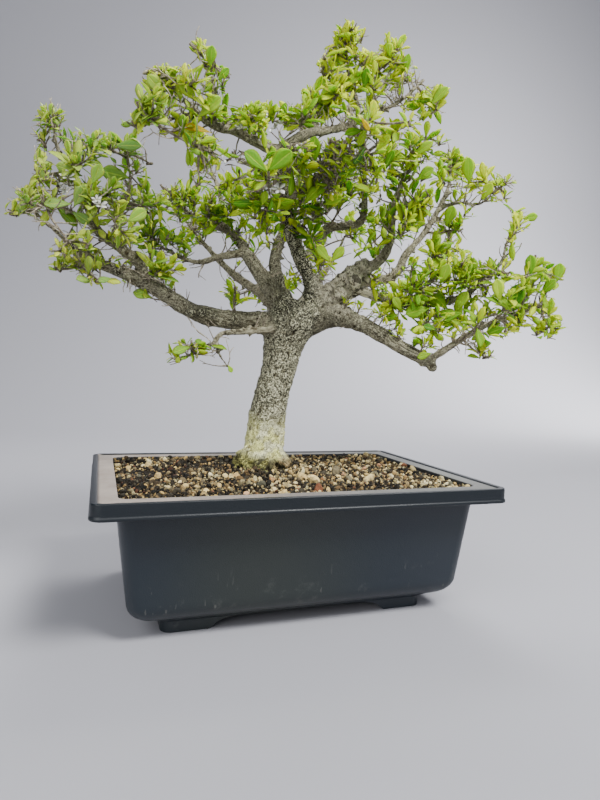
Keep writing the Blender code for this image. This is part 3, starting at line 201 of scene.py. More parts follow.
# Branches: stations of x, y, z and radius
BRANCHES = {
    "trunk": [
        (-7, 45, 98, 22), (-7, 45, 114, 27), (-7, 45, 124, 29), (-6, 45, 133, 24.5), (-6, 45, 147, 22),
        (-3, 45, 183, 20.5), (3, 45, 212, 19), (9.5, 45, 241, 19.5), (13, 45, 264, 23),
        (20, 45, 287, 27.5), (29, 45, 303, 26), (33, 45, 313, 17)],
    "low_left": [
        (14, 45, 285, 14), (-14, 42, 287, 13), (-43, 38, 287, 11), (-90, 25, 292, 9),
        (-126, 12, 308, 7.5), (-161, 2, 322, 6), (-198, -2, 334, 4.4), (-216, 0, 346, 3)],
    "low_left_whip": [(-207, -1, 339, 2.6), (-221, 0, 352, 2), (-235, 2, 365, 1.7), (-248, 5, 377, 1.4)],
    "low_left_rise": [
        (-141, 8, 315, 5.5), (-151, 2, 335, 5.2), (-170, -8, 346, 4.8), (-189, -12, 359, 4.2),
        (-199, -10, 383, 3.6), (-210, -5, 407, 2.8), (-224, 0, 430, 2.1), (-229, 5, 456, 1.4)],
    "low_left_fan": [(-189, -12, 359, 3), (-208, -25, 368, 2.2), (-226, -35, 375, 1.5)],
    "low_left_pad": [
        (-177, -8, 349, 3.2), (-168, 15, 381, 2.6), (-159, 30, 416, 2), (-161, 35, 442, 1.4)],
    "mid_left": [
        (23, 55, 300, 12), (0, 62, 329, 9.5), (-18, 78, 360, 8), (-30, 90, 383, 6.6),
        (-45, 102, 399, 5.2), (-75, 112, 410, 3.6), (-104, 118, 425, 2)],
    "mid_left_low": [
        (-24, 85, 372, 5), (-57, 78, 362, 4), (-82, 68, 352, 3.2), (-106, 55, 354, 2.5),
        (-127, 45, 361, 1.6)],
    "mid_left_top": [
        (-45, 102, 399, 4), (-48, 115, 431, 3.2), (-56, 125, 463, 2.3), (-68, 130, 493, 1.4)],
    "front_leader": [
        (42, 44, 296, 13), (49, 40, 312, 11), (40, 36, 338, 9), (20, 25, 366, 8), (5, 12, 391, 7.4),
        (-5, 0, 415, 7), (-13, -10, 439, 6.6), (-16, -15, 461, 6.2)],
    "upper_left": [
        (-14, -13, 455, 6.4), (-47, -28, 457, 5.2), (-68, -38, 459, 4.6), (-91, -48, 457, 4),
        (-110, -52, 467, 3), (-124, -50, 479, 1.8)],
    "upper_left_shoot": [
        (-91, -48, 457, 3), (-90, -48, 482, 2.4), (-93, -46, 505, 1.8), (-101, -44, 524, 1.2)],
    "cross": [
        (-16, -15, 458, 6), (14, -12, 479, 5), (48, -6, 492, 4.2), (75, 2, 509, 3.6), (75, 8, 535, 2.9),
        (66, 12, 563, 2.2), (64, 14, 592, 1.4)],
    "cross_twig": [(18, -12, 478, 2.4), (21, -12, 493, 1.8), (20, -12, 504, 1.3)],
    "dead_stick": [(76, 2, 508, 2.8), (120, -4, 533, 2.4), (150, -8, 562, 1.8)],
    "back_leader": [
        (27, 60, 300, 10), (10, 75, 352, 7.6), (14, 85, 380, 6.6), (28, 98, 412, 5.6),
        (43, 108, 453, 4.4), (53, 115, 500, 3.2), (57, 120, 545, 1.6)],
    "link": [
        (28, 30, 353, 6), (59, 45, 397, 5.2), (84, 45, 406, 4.8), (104, 42, 414, 4.4),
        (105, 42, 454, 3.8), (100, 42, 495, 3.2), (100, 42, 529, 2.6), (120, 42, 564, 1.9),
        (136, 42, 602, 1.2)],
    "knob": [(45, 40, 300, 17), (71, 36, 324, 16), (91, 30, 346, 12.5), (101, 25, 356, 8)],
    "knob_up": [
        (91, 30, 350, 8), (114, 15, 362, 5.6), (123, 4, 386, 4.8), (120, -4, 414, 3.9),
        (128, -10, 449, 2.8), (143, -14, 471, 1.6)],
    "long_riser": [
        (85, 34, 338, 8), (145, 40, 352, 5.4), (165, 44, 381, 4.8), (191, 48, 410, 4.1),
        (210, 50, 440, 3.3), (224, 52, 470, 2.3), (227, 52, 498, 1.4)],
    "long_riser_side": [
        (212, 50, 444, 2.8), (236, 42, 451, 2.3), (260, 34, 451, 1.8), (277, 28, 468, 1.3)],
    "low_right": [
        (40, 44, 292, 17), (64, 25, 299, 14), (86, 8, 292, 10), (107, -8, 279, 8), (128, -24, 264, 7.2),
        (149, -38, 252, 6.4), (158, -44, 250, 5.6)],
    "low_right_out": [
        (149, -38, 249, 4.6), (175, -50, 269, 4), (192, -54, 281, 3.5), (213, -56, 292, 3),
        (254, -56, 307, 2.1), (285, -54, 321, 1.3)],
    "low_right_tip": [(250, -56, 305, 2), (261, -60, 330, 1.6), (269, -62, 353, 1.2)],
    "right_mid": [
        (84, 34, 333, 7), (122, 10, 321, 5.6), (156, -5, 316, 4.8), (183, -14, 318, 4.2),
        (212, -20, 330, 3.4), (229, -24, 348, 2.8), (248, -28, 367, 2.2), (253, -30, 390, 1.7),
        (261, -32, 414, 1.2)],
    "low_shoot": [
        (2, 34, 281, 5), (-40, 10, 274, 3.4), (-67, 0, 270, 2.8), (-78, -5, 258, 2.2),
        (-94, -8, 258, 1.4)],
    "low_shoot_fork": [(-74, -4, 261, 2), (-69, -6, 247, 1.6), (-60, -8, 235, 1.2)],
    "back_left": [
        (16, 62, 298, 10), (0, 95, 325, 6.5), (-28, 130, 352, 4.8), (-55, 152, 383, 3.4),
        (-78, 166, 412, 1.8)],
    "back_right": [
        (38, 60, 300, 10), (58, 95, 330, 6.2), (86, 125, 358, 4.7), (110, 146, 386, 3.3),
        (130, 160, 415, 1.8)],
    "back_low": [(24, 62, 290, 9), (30, 98, 308, 5), (24, 136, 322, 3.6), (8, 168, 343, 1.8)],
    "right_back": [(92, 34, 342, 6), (120, 72, 358, 4.2), (152, 104, 380, 3), (172, 126, 408, 1.6)],
    "left_back": [(-84, 28, 292, 6), (-108, 58, 312, 3.8), (-136, 88, 336, 2.8), (-156, 112, 362, 1.5)],
    "front_shoot": [(-3, 2, 410, 4), (12, -32, 424, 2.8), (24, -66, 440, 2), (32, -92, 458, 1.2)],
}

# How thickly a branch is covered in flecks. The other branches have few
FLECKED = {"trunk": 1.0, "front_leader": 1.0, "knob": 0.75, "low_left": 0.35, "low_right": 0.4, "link": 0.4,
           "back_leader": 0.5, "mid_left": 0.35}
FEW_FLECKS = 0.12

# Leafy sprays: the branch that carries each, then the middle of each of its tufts
SPRAYS = [
    ("low_left_whip", [(-262, 5, 376), (-250, 0, 388)]),
    ("low_left_rise", [(-229, 5, 468), (-238, -5, 443), (-216, 12, 447)]),
    ("low_left_rise", [(-240, -15, 412), (-226, -30, 380), (-236, -36, 398)]),
    ("low_left_rise", [(-195, -15, 440), (-208, -30, 416)]),
    ("low_left_rise", [(-178, -34, 398), (-193, -42, 384), (-170, -40, 362)]),
    ("low_left_fan", [(-243, -48, 376), (-212, -45, 347)]),
    ("low_left_pad", [(-160, 40, 464), (-180, 24, 455), (-140, 25, 446)]),
    ("low_left_pad", [(-136, 30, 406), (-172, 46, 402), (-140, 52, 424)]),
    ("low_left", [(-222, -22, 326), (-186, -24, 318), (-200, 22, 345)]),
    ("low_left", [(-140, -12, 335), (-122, -6, 340), (-106, 42, 326)]),
    ("low_left", [(-50, 20, 327), (-66, 26, 318)]),
    ("mid_left_low", [(-138, 38, 378), (-146, 54, 356), (-112, 36, 374)]),
    ("mid_left", [(-120, 110, 450), (-136, 100, 416), (-95, 88, 436)]),
    ("mid_left", [(-74, 70, 414), (-46, 68, 418)]),
    ("mid_left_top", [(-85, 125, 514), (-60, 142, 522), (-92, 146, 484)]),
    ("mid_left_top", [(-28, 120, 472), (-16, 112, 446)]),
    ("upper_left", [(-136, -52, 500), (-146, -38, 484), (-114, -76, 486)]),
    ("upper_left", [(-160, -60, 450), (-148, -82, 448), (-106, -72, 436)]),
    ("upper_left", [(-60, -42, 486), (-72, -8, 486), (-62, -66, 470)]),
    ("upper_left_shoot", [(-110, -40, 535), (-94, -28, 528), (-80, -52, 508)]),
    ("cross", [(62, 15, 600), (54, 22, 584), (78, 0, 576)]),
    ("cross", [(32, 0, 558), (42, -16, 530), (82, -20, 540)]),
    ("cross", [(0, 10, 512), (2, -36, 494), (-25, 5, 502)]),
    ("cross_twig", [(20, -10, 530), (32, 6, 514)]),
    ("dead_stick", [(170, 8, 552), (158, -22, 532)]),
    ("link", [(132, 45, 620), (124, 60, 602), (150, 36, 588)]),
    ("link", [(126, 18, 516), (132, 56, 530)]),
    ("link", [(80, 62, 494), (70, 18, 458)]),
    ("link", [(66, 22, 424), (62, 66, 420)]),
    ("front_leader", [(-50, -58, 430), (-46, -84, 414), (-36, -44, 396)]),
    ("front_leader", [(-2, -64, 448), (-30, -88, 436)]),
    ("front_leader", [(36, -22, 408), (34, -10, 366)]),
    ("front_shoot", [(38, -110, 466), (52, -84, 448), (4, -94, 462)]),
    ("knob_up", [(152, -12, 504), (122, -32, 484), (92, -40, 464)]),
    ("knob_up", [(136, -32, 428), (118, -36, 402), (86, -14, 378)]),
    ("long_riser", [(225, 55, 524), (252, 70, 512), (200, 30, 480)]),
    ("long_riser", [(226, 22, 420), (182, 10, 384), (236, 78, 404)]),
    ("long_riser_side", [(290, 25, 486), (274, 44, 490), (256, 20, 428)]),
    ("right_mid", [(265, -35, 430), (240, -52, 396)]),
    ("right_mid", [(224, -60, 356), (232, 6, 368), (196, -48, 346)]),
    ("right_mid", [(160, -22, 348), (128, -42, 336), (155, -36, 292)]),
    ("low_right_out", [(216, -84, 322), (268, -28, 326), (196, -26, 306)]),
    ("low_right_out", [(305, -50, 316), (276, -70, 296)]),
    ("low_right_out", [(178, -84, 292), (208, -62, 264), (146, -76, 276)]),
    ("low_right_tip", [(265, -64, 376), (296, -52, 358), (238, -82, 350)]),
    ("low_shoot", [(-113, -10, 250), (-100, -18, 266)]),
    ("back_leader", [(56, 122, 580), (84, 138, 570), (24, 132, 526)]),
    ("back_leader", [(4, 142, 480), (36, 78, 494), (84, 116, 512)]),
    ("back_left", [(-94, 172, 440), (-58, 182, 414), (-40, 110, 396)]),
    ("back_right", [(142, 168, 444), (100, 178, 412), (130, 120, 424)]),
    ("back_low", [(2, 190, 362), (-28, 166, 336), (46, 156, 352)]),
    ("left_back", [(-166, 122, 388), (-122, 116, 352)]),
]

# Flowers: where each star opens
FLOWERS = [
    (-214, -34, 396), (-187, -48, 372), (-66, -62, 452), (-34, -78, 398), (108, -32, 450)]

# Camera, in the pot's frame: place, turn, tip and roll in degrees, the focal length in pixels of the
# photograph's frame and in millimetres on a film of this size
EYE = np.array((-184.7, -591.9, 234.5))
CAMERA_ANGLES = (19.09, 2.83, 2.04)
FOCAL = 581.9
PHOTO_MIDDLE = (300.0, 400.0)
LENS = 26.19
FILM = 36.0

# Stage, in metres: half width, where the floor starts, where it begins to rise, how far and how high it
# curves, and the backdrop's top. Then its rows and the share of them that is flat, the colour, and the
# world's colour and strength
FLOOR_SIDE = 30.0
FLOOR_START = -30.0
BEND_START = 1.4
BEND = 2.0
BACKDROP_TOP = 4.5
FLOOR_ROWS = 60
FLAT_SHARE = 0.55
FLOOR_COLOUR = (0.37, 0.37, 0.40, 1)
WORLD_COLOUR = (0.88, 0.91, 1.0, 1)
WORLD_STRENGTH = 0.43
# Lights: name, place and target in metres, size in metres and power in watts
PLANT_MIDDLE = (0.0, 0.0, 0.3)
LIGHTS = [
    ("key", (0.8, -1.3, 2.0), PLANT_MIDDLE, 0.8, 88.0),
    ("fill", (-1.4, -1.2, 1.2), PLANT_MIDDLE, 1.6, 31.0),
    ("back", (0.7, 1.2, 2.1), PLANT_MIDDLE, 1.0, 48.0),
    ("wall", (2.5, 1.0, 1.3), (2.2, 3.2, 0.9), 1.2, 150.0)]

# Large leaves: where the base and the tip show in the photograph's 600 by 800 frame, and the tone. The
# tone of 1 is an orange leaf, which is narrower and nearer
LARGE_LEAVES = [
    (72, 204, 45, 203, 0.30), (74, 207, 85, 187, 0.35), (72, 212, 89, 222, 0.20),
    (130, 178, 103, 171, 0.30), (115, 146, 139, 144, 0.15), (127, 222, 145, 211, 0.50),
    (82, 176, 58, 165, 0.50), (92, 184, 100, 165, 0.55), (152, 298, 134, 292, 0.45),
    (112, 278, 99, 281, 0.25), (166, 249, 164, 228, 0.40), (267, 172, 246, 152, 0.26),
    (268, 171, 290, 152, 0.30), (313, 166, 314, 138, 0.35), (281, 178, 303, 157, 0.72),
    (212, 133, 184, 124, 1.00), (243, 132, 252, 105, 0.65), (210, 67, 212, 47, 0.40),
    (218, 80, 228, 69, 0.35), (196, 102, 179, 77, 0.70), (198, 118, 220, 98, 0.60),
    (170, 126, 154, 116, 0.50), (165, 97, 149, 76, 0.60), (262, 206, 266, 192, 0.55),
    (281, 222, 263, 211, 0.15), (304, 203, 318, 188, 0.50), (413, 156, 431, 142, 0.60),
    (406, 158, 380, 151, 0.62), (378, 150, 389, 135, 0.80), (430, 106, 446, 87, 0.55),
    (361, 117, 369, 130, 1.00), (364, 89, 367, 69, 0.20), (416, 181, 432, 168, 0.45),
    (323, 205, 341, 197, 0.60), (406, 72, 408, 55, 0.55), (469, 184, 468, 159, 0.62),
    (482, 200, 491, 184, 0.80), (446, 226, 453, 207, 0.50), (448, 310, 430, 290, 0.50),
    (456, 312, 466, 292, 0.58), (500, 302, 497, 280, 0.72), (514, 311, 519, 285, 0.12),
    (512, 312, 500, 296, 0.48), (531, 275, 531, 256, 0.30), (557, 282, 560, 264, 0.60),
    (540, 295, 555, 280, 0.40), (463, 313, 436, 319, 0.30), (430, 308, 407, 313, 0.38),
    (506, 327, 489, 333, 0.28), (437, 330, 424, 326, 0.10), (432, 353, 418, 357, 0.52),
    (522, 219, 537, 216, 0.50), (398, 315, 386, 319, 0.45), (402, 312, 394, 298, 0.55),
    (440, 285, 448, 265, 0.55), (330, 262, 318, 247, 0.55), (331, 262, 343, 248, 0.62),
    (190, 347, 174, 352, 0.35), (205, 345, 196, 340, 0.30), (228, 365, 232, 372, 0.55)]
# More rosettes: where the middle of each shows in the photograph's frame, and its leaves' length
ROSETTES = [
    (333, 63, 20), (325, 50, 16), (345, 46, 18), (350, 30, 15), (365, 62, 18), (378, 60, 18),
    (372, 76, 20), (347, 27, 13), (352, 25, 11), (343, 31, 12), (53, 112, 17), (46, 118, 13),
    (44, 138, 14), (76, 138, 15), (97, 136, 15), (110, 140, 13), (44, 160, 11), (138, 166, 13),
    (27, 194, 12), (14, 207, 11), (66, 256, 12), (397, 44, 15), (405, 60, 13), (312, 95, 17),
    (319, 80, 14), (290, 106, 15), (270, 108, 15), (256, 113, 13), (150, 84, 19), (168, 77, 19),
    (160, 98, 16), (180, 93, 15), (206, 105, 15), (216, 112, 13), (190, 118, 13), (206, 58, 11),
    (200, 45, 9), (222, 82, 9), (137, 98, 13), (135, 118, 11), (150, 112, 12), (340, 175, 13),
    (352, 186, 14), (336, 192, 12), (366, 160, 14), (386, 150, 15), (396, 170, 13), (420, 150, 13),
    (410, 176, 12), (438, 122, 11), (440, 138, 11), (350, 140, 13), (330, 135, 12), (300, 140, 13),
    (345, 160, 12), (200, 180, 11), (210, 196, 13), (226, 186, 12), (190, 200, 13), (222, 210, 12),
    (205, 222, 12), (236, 200, 12), (250, 192, 13), (255, 210, 13), (268, 226, 12), (290, 210, 12),
    (300, 196, 12), (180, 215, 12), (168, 232, 12), (185, 248, 12), (200, 238, 11), (172, 190, 11),
    (240, 225, 12), (225, 235, 11), (155, 242, 13), (372, 285, 14), (390, 296, 15), (380, 310, 13),
    (405, 300, 13), (412, 290, 12), (376, 275, 12), (356, 272, 12), (395, 272, 12), (420, 280, 13),
    (430, 295, 13), (440, 310, 13), (312, 246, 13), (326, 256, 13), (334, 246, 12), (350, 232, 12),
    (370, 215, 12), (385, 210, 12), (400, 225, 12), (360, 200, 12), (375, 250, 12), (405, 250, 12),
    (455, 166, 13), (470, 178, 13), (485, 192, 13), (505, 192, 12), (500, 202, 11), (430, 190, 12),
    (445, 180, 12), (425, 210, 12), (440, 200, 11), (465, 210, 12), (432, 235, 12), (447, 250, 12),
    (460, 262, 12), (517, 222, 13), (510, 236, 9), (560, 272, 13), (545, 290, 11), (550, 320, 11),
    (558, 326, 9), (481, 346, 11), (491, 352, 9), (455, 275, 13), (470, 282, 13), (485, 272, 12),
    (415, 310, 12), (440, 325, 12), (425, 340, 11), (352, 285, 12), (345, 300, 12), (362, 300, 12),
    (350, 312, 11), (400, 328, 11), (320, 262, 12), (75, 262, 10), (60, 245, 11), (95, 262, 12),
    (110, 255, 12), (125, 262, 12), (88, 240, 12), (108, 235, 13), (140, 262, 11), (120, 240, 12),
    (70, 225, 11), (150, 250, 11), (343, 40, 14), (356, 50, 15), (372, 48, 15), (386, 60, 16),
    (362, 34, 13), (420, 98, 15), (386, 108, 14), (424, 112, 13), (410, 118, 12), (255, 124, 13),
    (270, 126, 13), (172, 186, 13), (182, 194, 13), (196, 200, 13), (208, 220, 13), (212, 196, 13),
    (340, 182, 14), (352, 190, 14), (372, 164, 14), (384, 166, 13), (410, 166, 14), (424, 174, 14),
    (292, 218, 13), (304, 222, 13), (268, 238, 12), (316, 252, 13), (322, 262, 12), (382, 284, 14),
    (394, 296, 14), (408, 286, 14), (448, 262, 14), (462, 258, 14), (462, 272, 13), (520, 318, 12),
    (536, 328, 12), (552, 332, 11), (184, 76, 17), (440, 214, 13), (456, 222, 13), (470, 226, 13),
    (480, 244, 12), (496, 262, 13), (510, 268, 13), (524, 282, 13), (470, 300, 14), (484, 312, 13),
    (494, 322, 13), (420, 322, 13), (452, 334, 12), (436, 250, 13), (420, 240, 13), (404, 228, 13),
    (390, 222, 13), (378, 216, 13), (412, 262, 13), (430, 264, 13), (486, 290, 13), (506, 326, 12)]
# Small half-open stars in the photograph's frame, beside the large ones
STARS = [
    (65, 190), (70, 186), (59, 186), (101, 205), (97, 200), (275, 129), (280, 124), (271, 193),
    (400, 172)]
# Where the crown is densest in the photograph: middle, half width and half height, shoots, dry share
DENSE = [
    (315, 165, 42, 30, 36, 0.45), (345, 160, 18, 28, 24, 0.7), (300, 195, 30, 18, 12, 0.25),
    (250, 130, 18, 12, 16, 0.0), (205, 168, 10, 9, 8, 0.1), (230, 190, 14, 18, 16, 0.15),
    (257, 200, 12, 12, 12, 0.2), (262, 233, 14, 9, 10, 0.1), (343, 187, 22, 10, 18, 0.1),
    (388, 186, 20, 15, 22, 0.1), (415, 94, 14, 7, 10, 0.2), (338, 101, 12, 12, 12, 0.0),
    (465, 177, 14, 18, 16, 0.1), (456, 252, 15, 11, 14, 0.0), (388, 300, 22, 16, 26, 0.1),
    (291, 272, 7, 16, 8, 0.0), (512, 328, 9, 7, 8, 0.0), (445, 285, 12, 10, 12, 0.0),
    (403, 90, 15, 17, 16, 1.0), (420, 305, 30, 18, 26, 0.1), (425, 215, 26, 14, 22, 0.15),
    (200, 215, 22, 14, 16, 0.1), (165, 75, 18, 8, 12, 0.1), (330, 178, 20, 22, 40, 0.9),
    (300, 205, 28, 16, 26, 0.8), (285, 236, 16, 12, 14, 0.5), (222, 158, 18, 9, 14, 0.3)]
# The crown's outline in the photograph's frame
CROWN_EDGE = [
    (2, 207), (15, 187), (34, 181), (25, 169), (34, 155), (29, 130), (34, 103), (50, 97), (67, 109),
    (68, 126), (88, 123), (108, 128), (122, 139), (142, 140), (153, 152), (153, 182), (157, 196),
    (163, 186), (186, 176), (189, 160), (184, 139), (158, 145), (146, 137), (128, 134), (116, 118),
    (132, 111), (133, 95), (137, 80), (147, 66), (161, 59), (185, 60), (193, 71), (204, 78), (205, 66),
    (197, 56), (185, 47), (190, 39), (199, 35), (212, 44), (218, 56), (216, 63), (226, 64), (233, 75),
    (225, 84), (225, 90), (236, 88), (229, 99), (232, 104), (242, 104), (252, 97), (264, 95), (285, 103),
    (301, 101), (304, 95), (295, 85), (312, 82), (322, 87), (326, 84), (318, 74), (308, 64), (317, 56),
    (324, 47), (334, 44), (331, 34), (331, 23), (345, 16), (353, 18), (369, 29), (367, 36), (358, 44),
    (370, 50), (380, 44), (388, 27), (398, 27), (409, 37), (410, 52), (424, 64), (427, 72), (445, 76),
    (451, 86), (447, 104), (445, 120), (432, 118), (430, 124), (449, 129), (456, 139), (437, 145),
    (437, 150), (448, 151), (457, 146), (475, 157), (495, 163), (517, 175), (519, 188), (508, 197),
    (503, 218), (478, 221), (464, 217), (467, 240), (457, 247), (474, 251), (497, 257), (499, 245),
    (498, 226), (504, 212), (514, 201), (541, 213), (535, 236), (519, 246), (514, 258), (505, 272),
    (520, 271), (530, 251), (547, 257), (567, 261), (571, 280), (564, 297), (551, 300), (562, 314),
    (571, 335), (540, 341), (530, 325), (516, 335), (500, 338), (481, 336), (490, 344), (501, 359),
    (470, 361), (440, 372), (420, 361), (395, 351), (370, 347), (330, 350), (236, 350), (240, 379),
    (223, 381), (211, 363), (198, 365), (164, 365), (164, 344), (184, 335), (214, 342), (200, 332),
    (160, 306), (135, 299), (113, 290), (70, 292), (44, 267), (50, 250), (28, 222), (0, 218)]
# White buds: where each shows in the photograph's frame, and its radius
BUDS = [
    (300, 151, 1.5), (297, 146, 1.2), (303, 154, 1.2), (290, 203, 1.5), (222, 156, 1.4), (225, 162, 1.3),
    (155, 107, 1.3), (182, 99, 1.2), (276, 124, 1.5), (270, 131, 1.3), (259, 140, 1.2), (108, 198, 1.2),
    (97, 205, 1.3), (63, 191, 1.3), (70, 184, 1.2), (88, 183, 1.3), (396, 172, 1.3), (404, 167, 1.2),
    (266, 188, 1.3), (277, 196, 1.3)]
# Where the photograph shows open background: middle, and half width and half height, in its frame
OPENINGS = [
    (98, 92, 34, 36), (169, 158, 14, 19), (264, 58, 36, 40), (160, 38, 22, 25), (222, 30, 18, 24),
    (190, 20, 20, 17), (243, 80, 12, 16), (60, 302, 40, 26), (110, 330, 50, 32), (213, 272, 14, 20),
    (205, 300, 20, 10), (252, 272, 9, 12), (248, 310, 12, 8), (494, 216, 14, 15), (486, 234, 18, 10),
    (540, 238, 18, 16), (440, 60, 16, 22), (470, 120, 24, 24), (300, 60, 12, 24), (118, 106, 7, 12),
    (20, 160, 12, 22), (10, 240, 30, 26), (300, 262, 5, 12), (560, 235, 30, 20), (290, 340, 60, 20),
    (215, 335, 12, 8), (165, 320, 30, 14), (362, 322, 14, 5), (385, 345, 22, 10), (524, 350, 18, 14),
    (380, 22, 9, 12), (320, 22, 12, 14), (300, 133, 18, 4), (335, 124, 18, 4), (228, 130, 14, 5),
    (250, 142, 14, 5), (340, 245, 14, 13), (335, 214, 12, 7), (372, 146, 5, 8), (57, 150, 5, 20),
    (60, 228, 14, 10), (215, 245, 16, 10), (183, 284, 9, 8), (67, 188, 7, 5), (101, 205, 6, 5),
    (275, 127, 7, 5), (271, 193, 6, 6)]
# Where the photograph shows wood with nothing in front: two ends of a stretch and its half width
SHOWN_WOOD = [
    (206, 126, 236, 138, 4), (236, 138, 262, 151, 5), (275, 142, 300, 138, 3), (300, 138, 342, 129, 3),
    (384, 114, 425, 77, 3), (386, 278, 420, 238, 4), (420, 238, 438, 210, 3), (438, 210, 450, 182, 3),
    (366, 270, 384, 258, 3), (384, 258, 390, 238, 3), (500, 266, 500, 254, 3), (500, 254, 508, 242, 2),
    (444, 346, 470, 334, 4), (470, 334, 490, 320, 3), (340, 322, 440, 366, 6), (93, 228, 107, 250, 4),
    (107, 250, 138, 256, 4), (138, 256, 145, 283, 5), (100, 270, 145, 285, 4), (145, 283, 175, 305, 6),
    (175, 305, 255, 326, 7), (45, 183, 72, 203, 2), (228, 262, 245, 290, 5), (290, 245, 322, 296, 6),
    (266, 250, 272, 285, 4), (346, 262, 362, 290, 8), (325, 300, 340, 312, 8)]


def draws(number):
    """The random draws of one piece, always the same."""
    return np.random.default_rng(SEED + number)


def unit(vectors):
    """Vectors divided by their lengths."""
    return vectors / np.maximum(np.linalg.norm(vectors, axis=-1, keepdims=True), 1e-9)


def hashed(cells, seed):
    """A fixed number from 0 to 1 for each whole-number cell: indices times primes, mixed by shifts."""
    mixed = (cells[..., 0] * 73856093) ^ (cells[..., 1] * 19349663) ^ (cells[..., 2] * 83492791)
    mixed = (mixed + seed * 7919) & 0x7fffffff
    mixed = ((mixed ^ (mixed >> 13)) * 1274126177) & 0x7fffffff
    return ((mixed ^ (mixed >> 16)) & 0xffff) / 65535


def noise(points, size, seed=0):
    """Smooth noise from -1 to 1: hashed numbers at a lattice's corners, blended by 3t^2 - 2t^3."""
    spots = points / size
    low = np.floor(spots).astype(np.int64)
    share = spots - low
    share = share * share * (3 - 2 * share)
    total = np.zeros(points.shape[:-1])
    for corner in range(8):
        step = np.array([corner & 1, corner >> 1 & 1, corner >> 2])
        total += np.prod(np.where(step, share, 1 - share), axis=-1) * hashed(low + step, seed)
    return 2 * total - 1


def ragged(points, size, octaves, seed=0):
    """Noise on noise: each octave is half as wide and half as strong as the one before it."""
    return sum(noise(points, size / 2 ** k, seed + k) / 2 ** k for k in range(octaves))


def plates(points, size, seed=0):
    """Cracks between cells: the second nearest of a jittered lattice's points minus the nearest."""
    spots = points / size
    low = np.floor(spots).astype(np.int64)
    nearest = np.full(points.shape[:-1], 9.0)
    second = nearest.copy()
    for corner in range(27):
        cell = low + np.array([corner % 3 - 1, corner // 3 % 3 - 1, corner // 9 - 1])
        seat = cell + np.stack([hashed(cell, seed + k) for k in range(3)], axis=-1)
        away = np.linalg.norm(seat - spots, axis=-1)
        second = np.minimum(second, np.maximum(nearest, away))
        nearest = np.minimum(nearest, away)
    return second - nearest


def smooth_path(stations, step):
    """Stations of x, y, z, r resampled about a step apart on a Catmull-Rom curve through them all."""
    rows = np.array(stations, float)
    rows = np.vstack([2 * rows[0] - rows[1], rows, 2 * rows[-1] - rows[-2]])
    parts = []
    for before, start, end, after in zip(rows, rows[1:], rows[2:], rows[3:]):
        count = max(2, int(np.linalg.norm((end - start)[:3]) / step))
        t = (np.arange(count) / count)[:, None]
        parts.append(0.5 * (
            2 * start + (end - before) * t + (2 * before - 5 * start + 4 * end - after) * t ** 2
            + (3 * start - 3 * end + after - before) * t ** 3))
    return np.vstack(parts + [rows[-2:-1]])


def grid_triangles(rows, columns, wrap):
    """Two triangles for each cell of a grid; the last column meets the first where it wraps."""
    first = np.arange(rows - 1)[:, None] * columns
    here = np.arange(columns if wrap else columns - 1)[None]
    beyond = (here + 1) % columns
    a, b, c, d = first + here, first + beyond, first + columns + beyond, first + columns + here
    cells = [np.stack([a, b, c], -1).reshape(-1, 3), np.stack([a, c, d], -1).reshape(-1, 3)]
    return np.concatenate(cells)


def loft(rings):
    """A closed skin over rings of equal count, row after row, with a point in the middle of each end."""
    rows, columns = rings.shape[:2]
    points = np.concatenate([rings.reshape(-1, 3), rings[:1].mean(axis=1), rings[-1:].mean(axis=1)])
    around = np.arange(columns)
    beyond = (around + 1) % columns
    start = np.stack([np.full(columns, rows * columns), beyond, around], -1)
    last = (rows - 1) * columns
    end = np.stack([np.full(columns, rows * columns + 1), last + around, last + beyond], -1)
    return points, np.concatenate([grid_triangles(rows, columns, True), start, end])


def tube(path, radii, sides):
    """Rings along a path: radius times the cosine and sine of even angles on two directions square to
    it. Both come from the direction that the path turns least towards."""
    along = unit(np.gradient(path, axis=0))
    least = np.linalg.svd(along)[2][-1]
    side = unit(np.cross(along, least))
    other = np.cross(along, side)
    angles = np.arange(sides)[:, None] * TAU / sides
    rings = path[:, None] + radii[:, None, None] * (
        side[:, None] * np.cos(angles) + other[:, None] * np.sin(angles))
    return loft(rings)


class Heap:
    """Closed shapes gathered as whole arrays, with three values that each point carries."""

    def __init__(self):
        self.points = []
        self.triangles = []
        self.looks = []
        self.slots = []
        self.count = 0

    def add(self, points, triangles, look=0.0, slot=0):
        """One more shape, with the look of its points and its material's slot."""
        self.points.append(points)
        self.triangles.append(triangles + self.count)
        self.looks.append(np.broadcast_to(look, points.shape))
        self.slots.append(np.full(len(triangles), slot))
        self.count += len(points)

    def twig(self, path, radii, sides, dry=0.0, slot=1):
        """A tube along a path, whose radius goes evenly from the first of two values to the second."""
        self.add(*tube(path, np.linspace(*radii, len(path)), sides), (dry, 0, 0), slot)
        return path

    def mesh(self, name):
        """Everything in the heap as one mesh."""
        return new_mesh(name, np.concatenate(self.points), np.concatenate(self.triangles))


def edges_of(triangles):
    """The three edges of every triangle."""
    return np.concatenate([triangles[:, [0, 1]], triangles[:, [1, 2]], triangles[:, [2, 0]]])


def gathered(index, values, count):
    """The sum of the rows of values for each index."""
    return np.stack([np.bincount(index, values[:, k], count) for k in range(3)], -1)


def copies(faces, count, size):
    """The faces of one shape repeated for a count of shapes that have size points each."""
    return (faces[None] + (np.arange(count) * size)[:, None, None]).reshape(-1, 3)


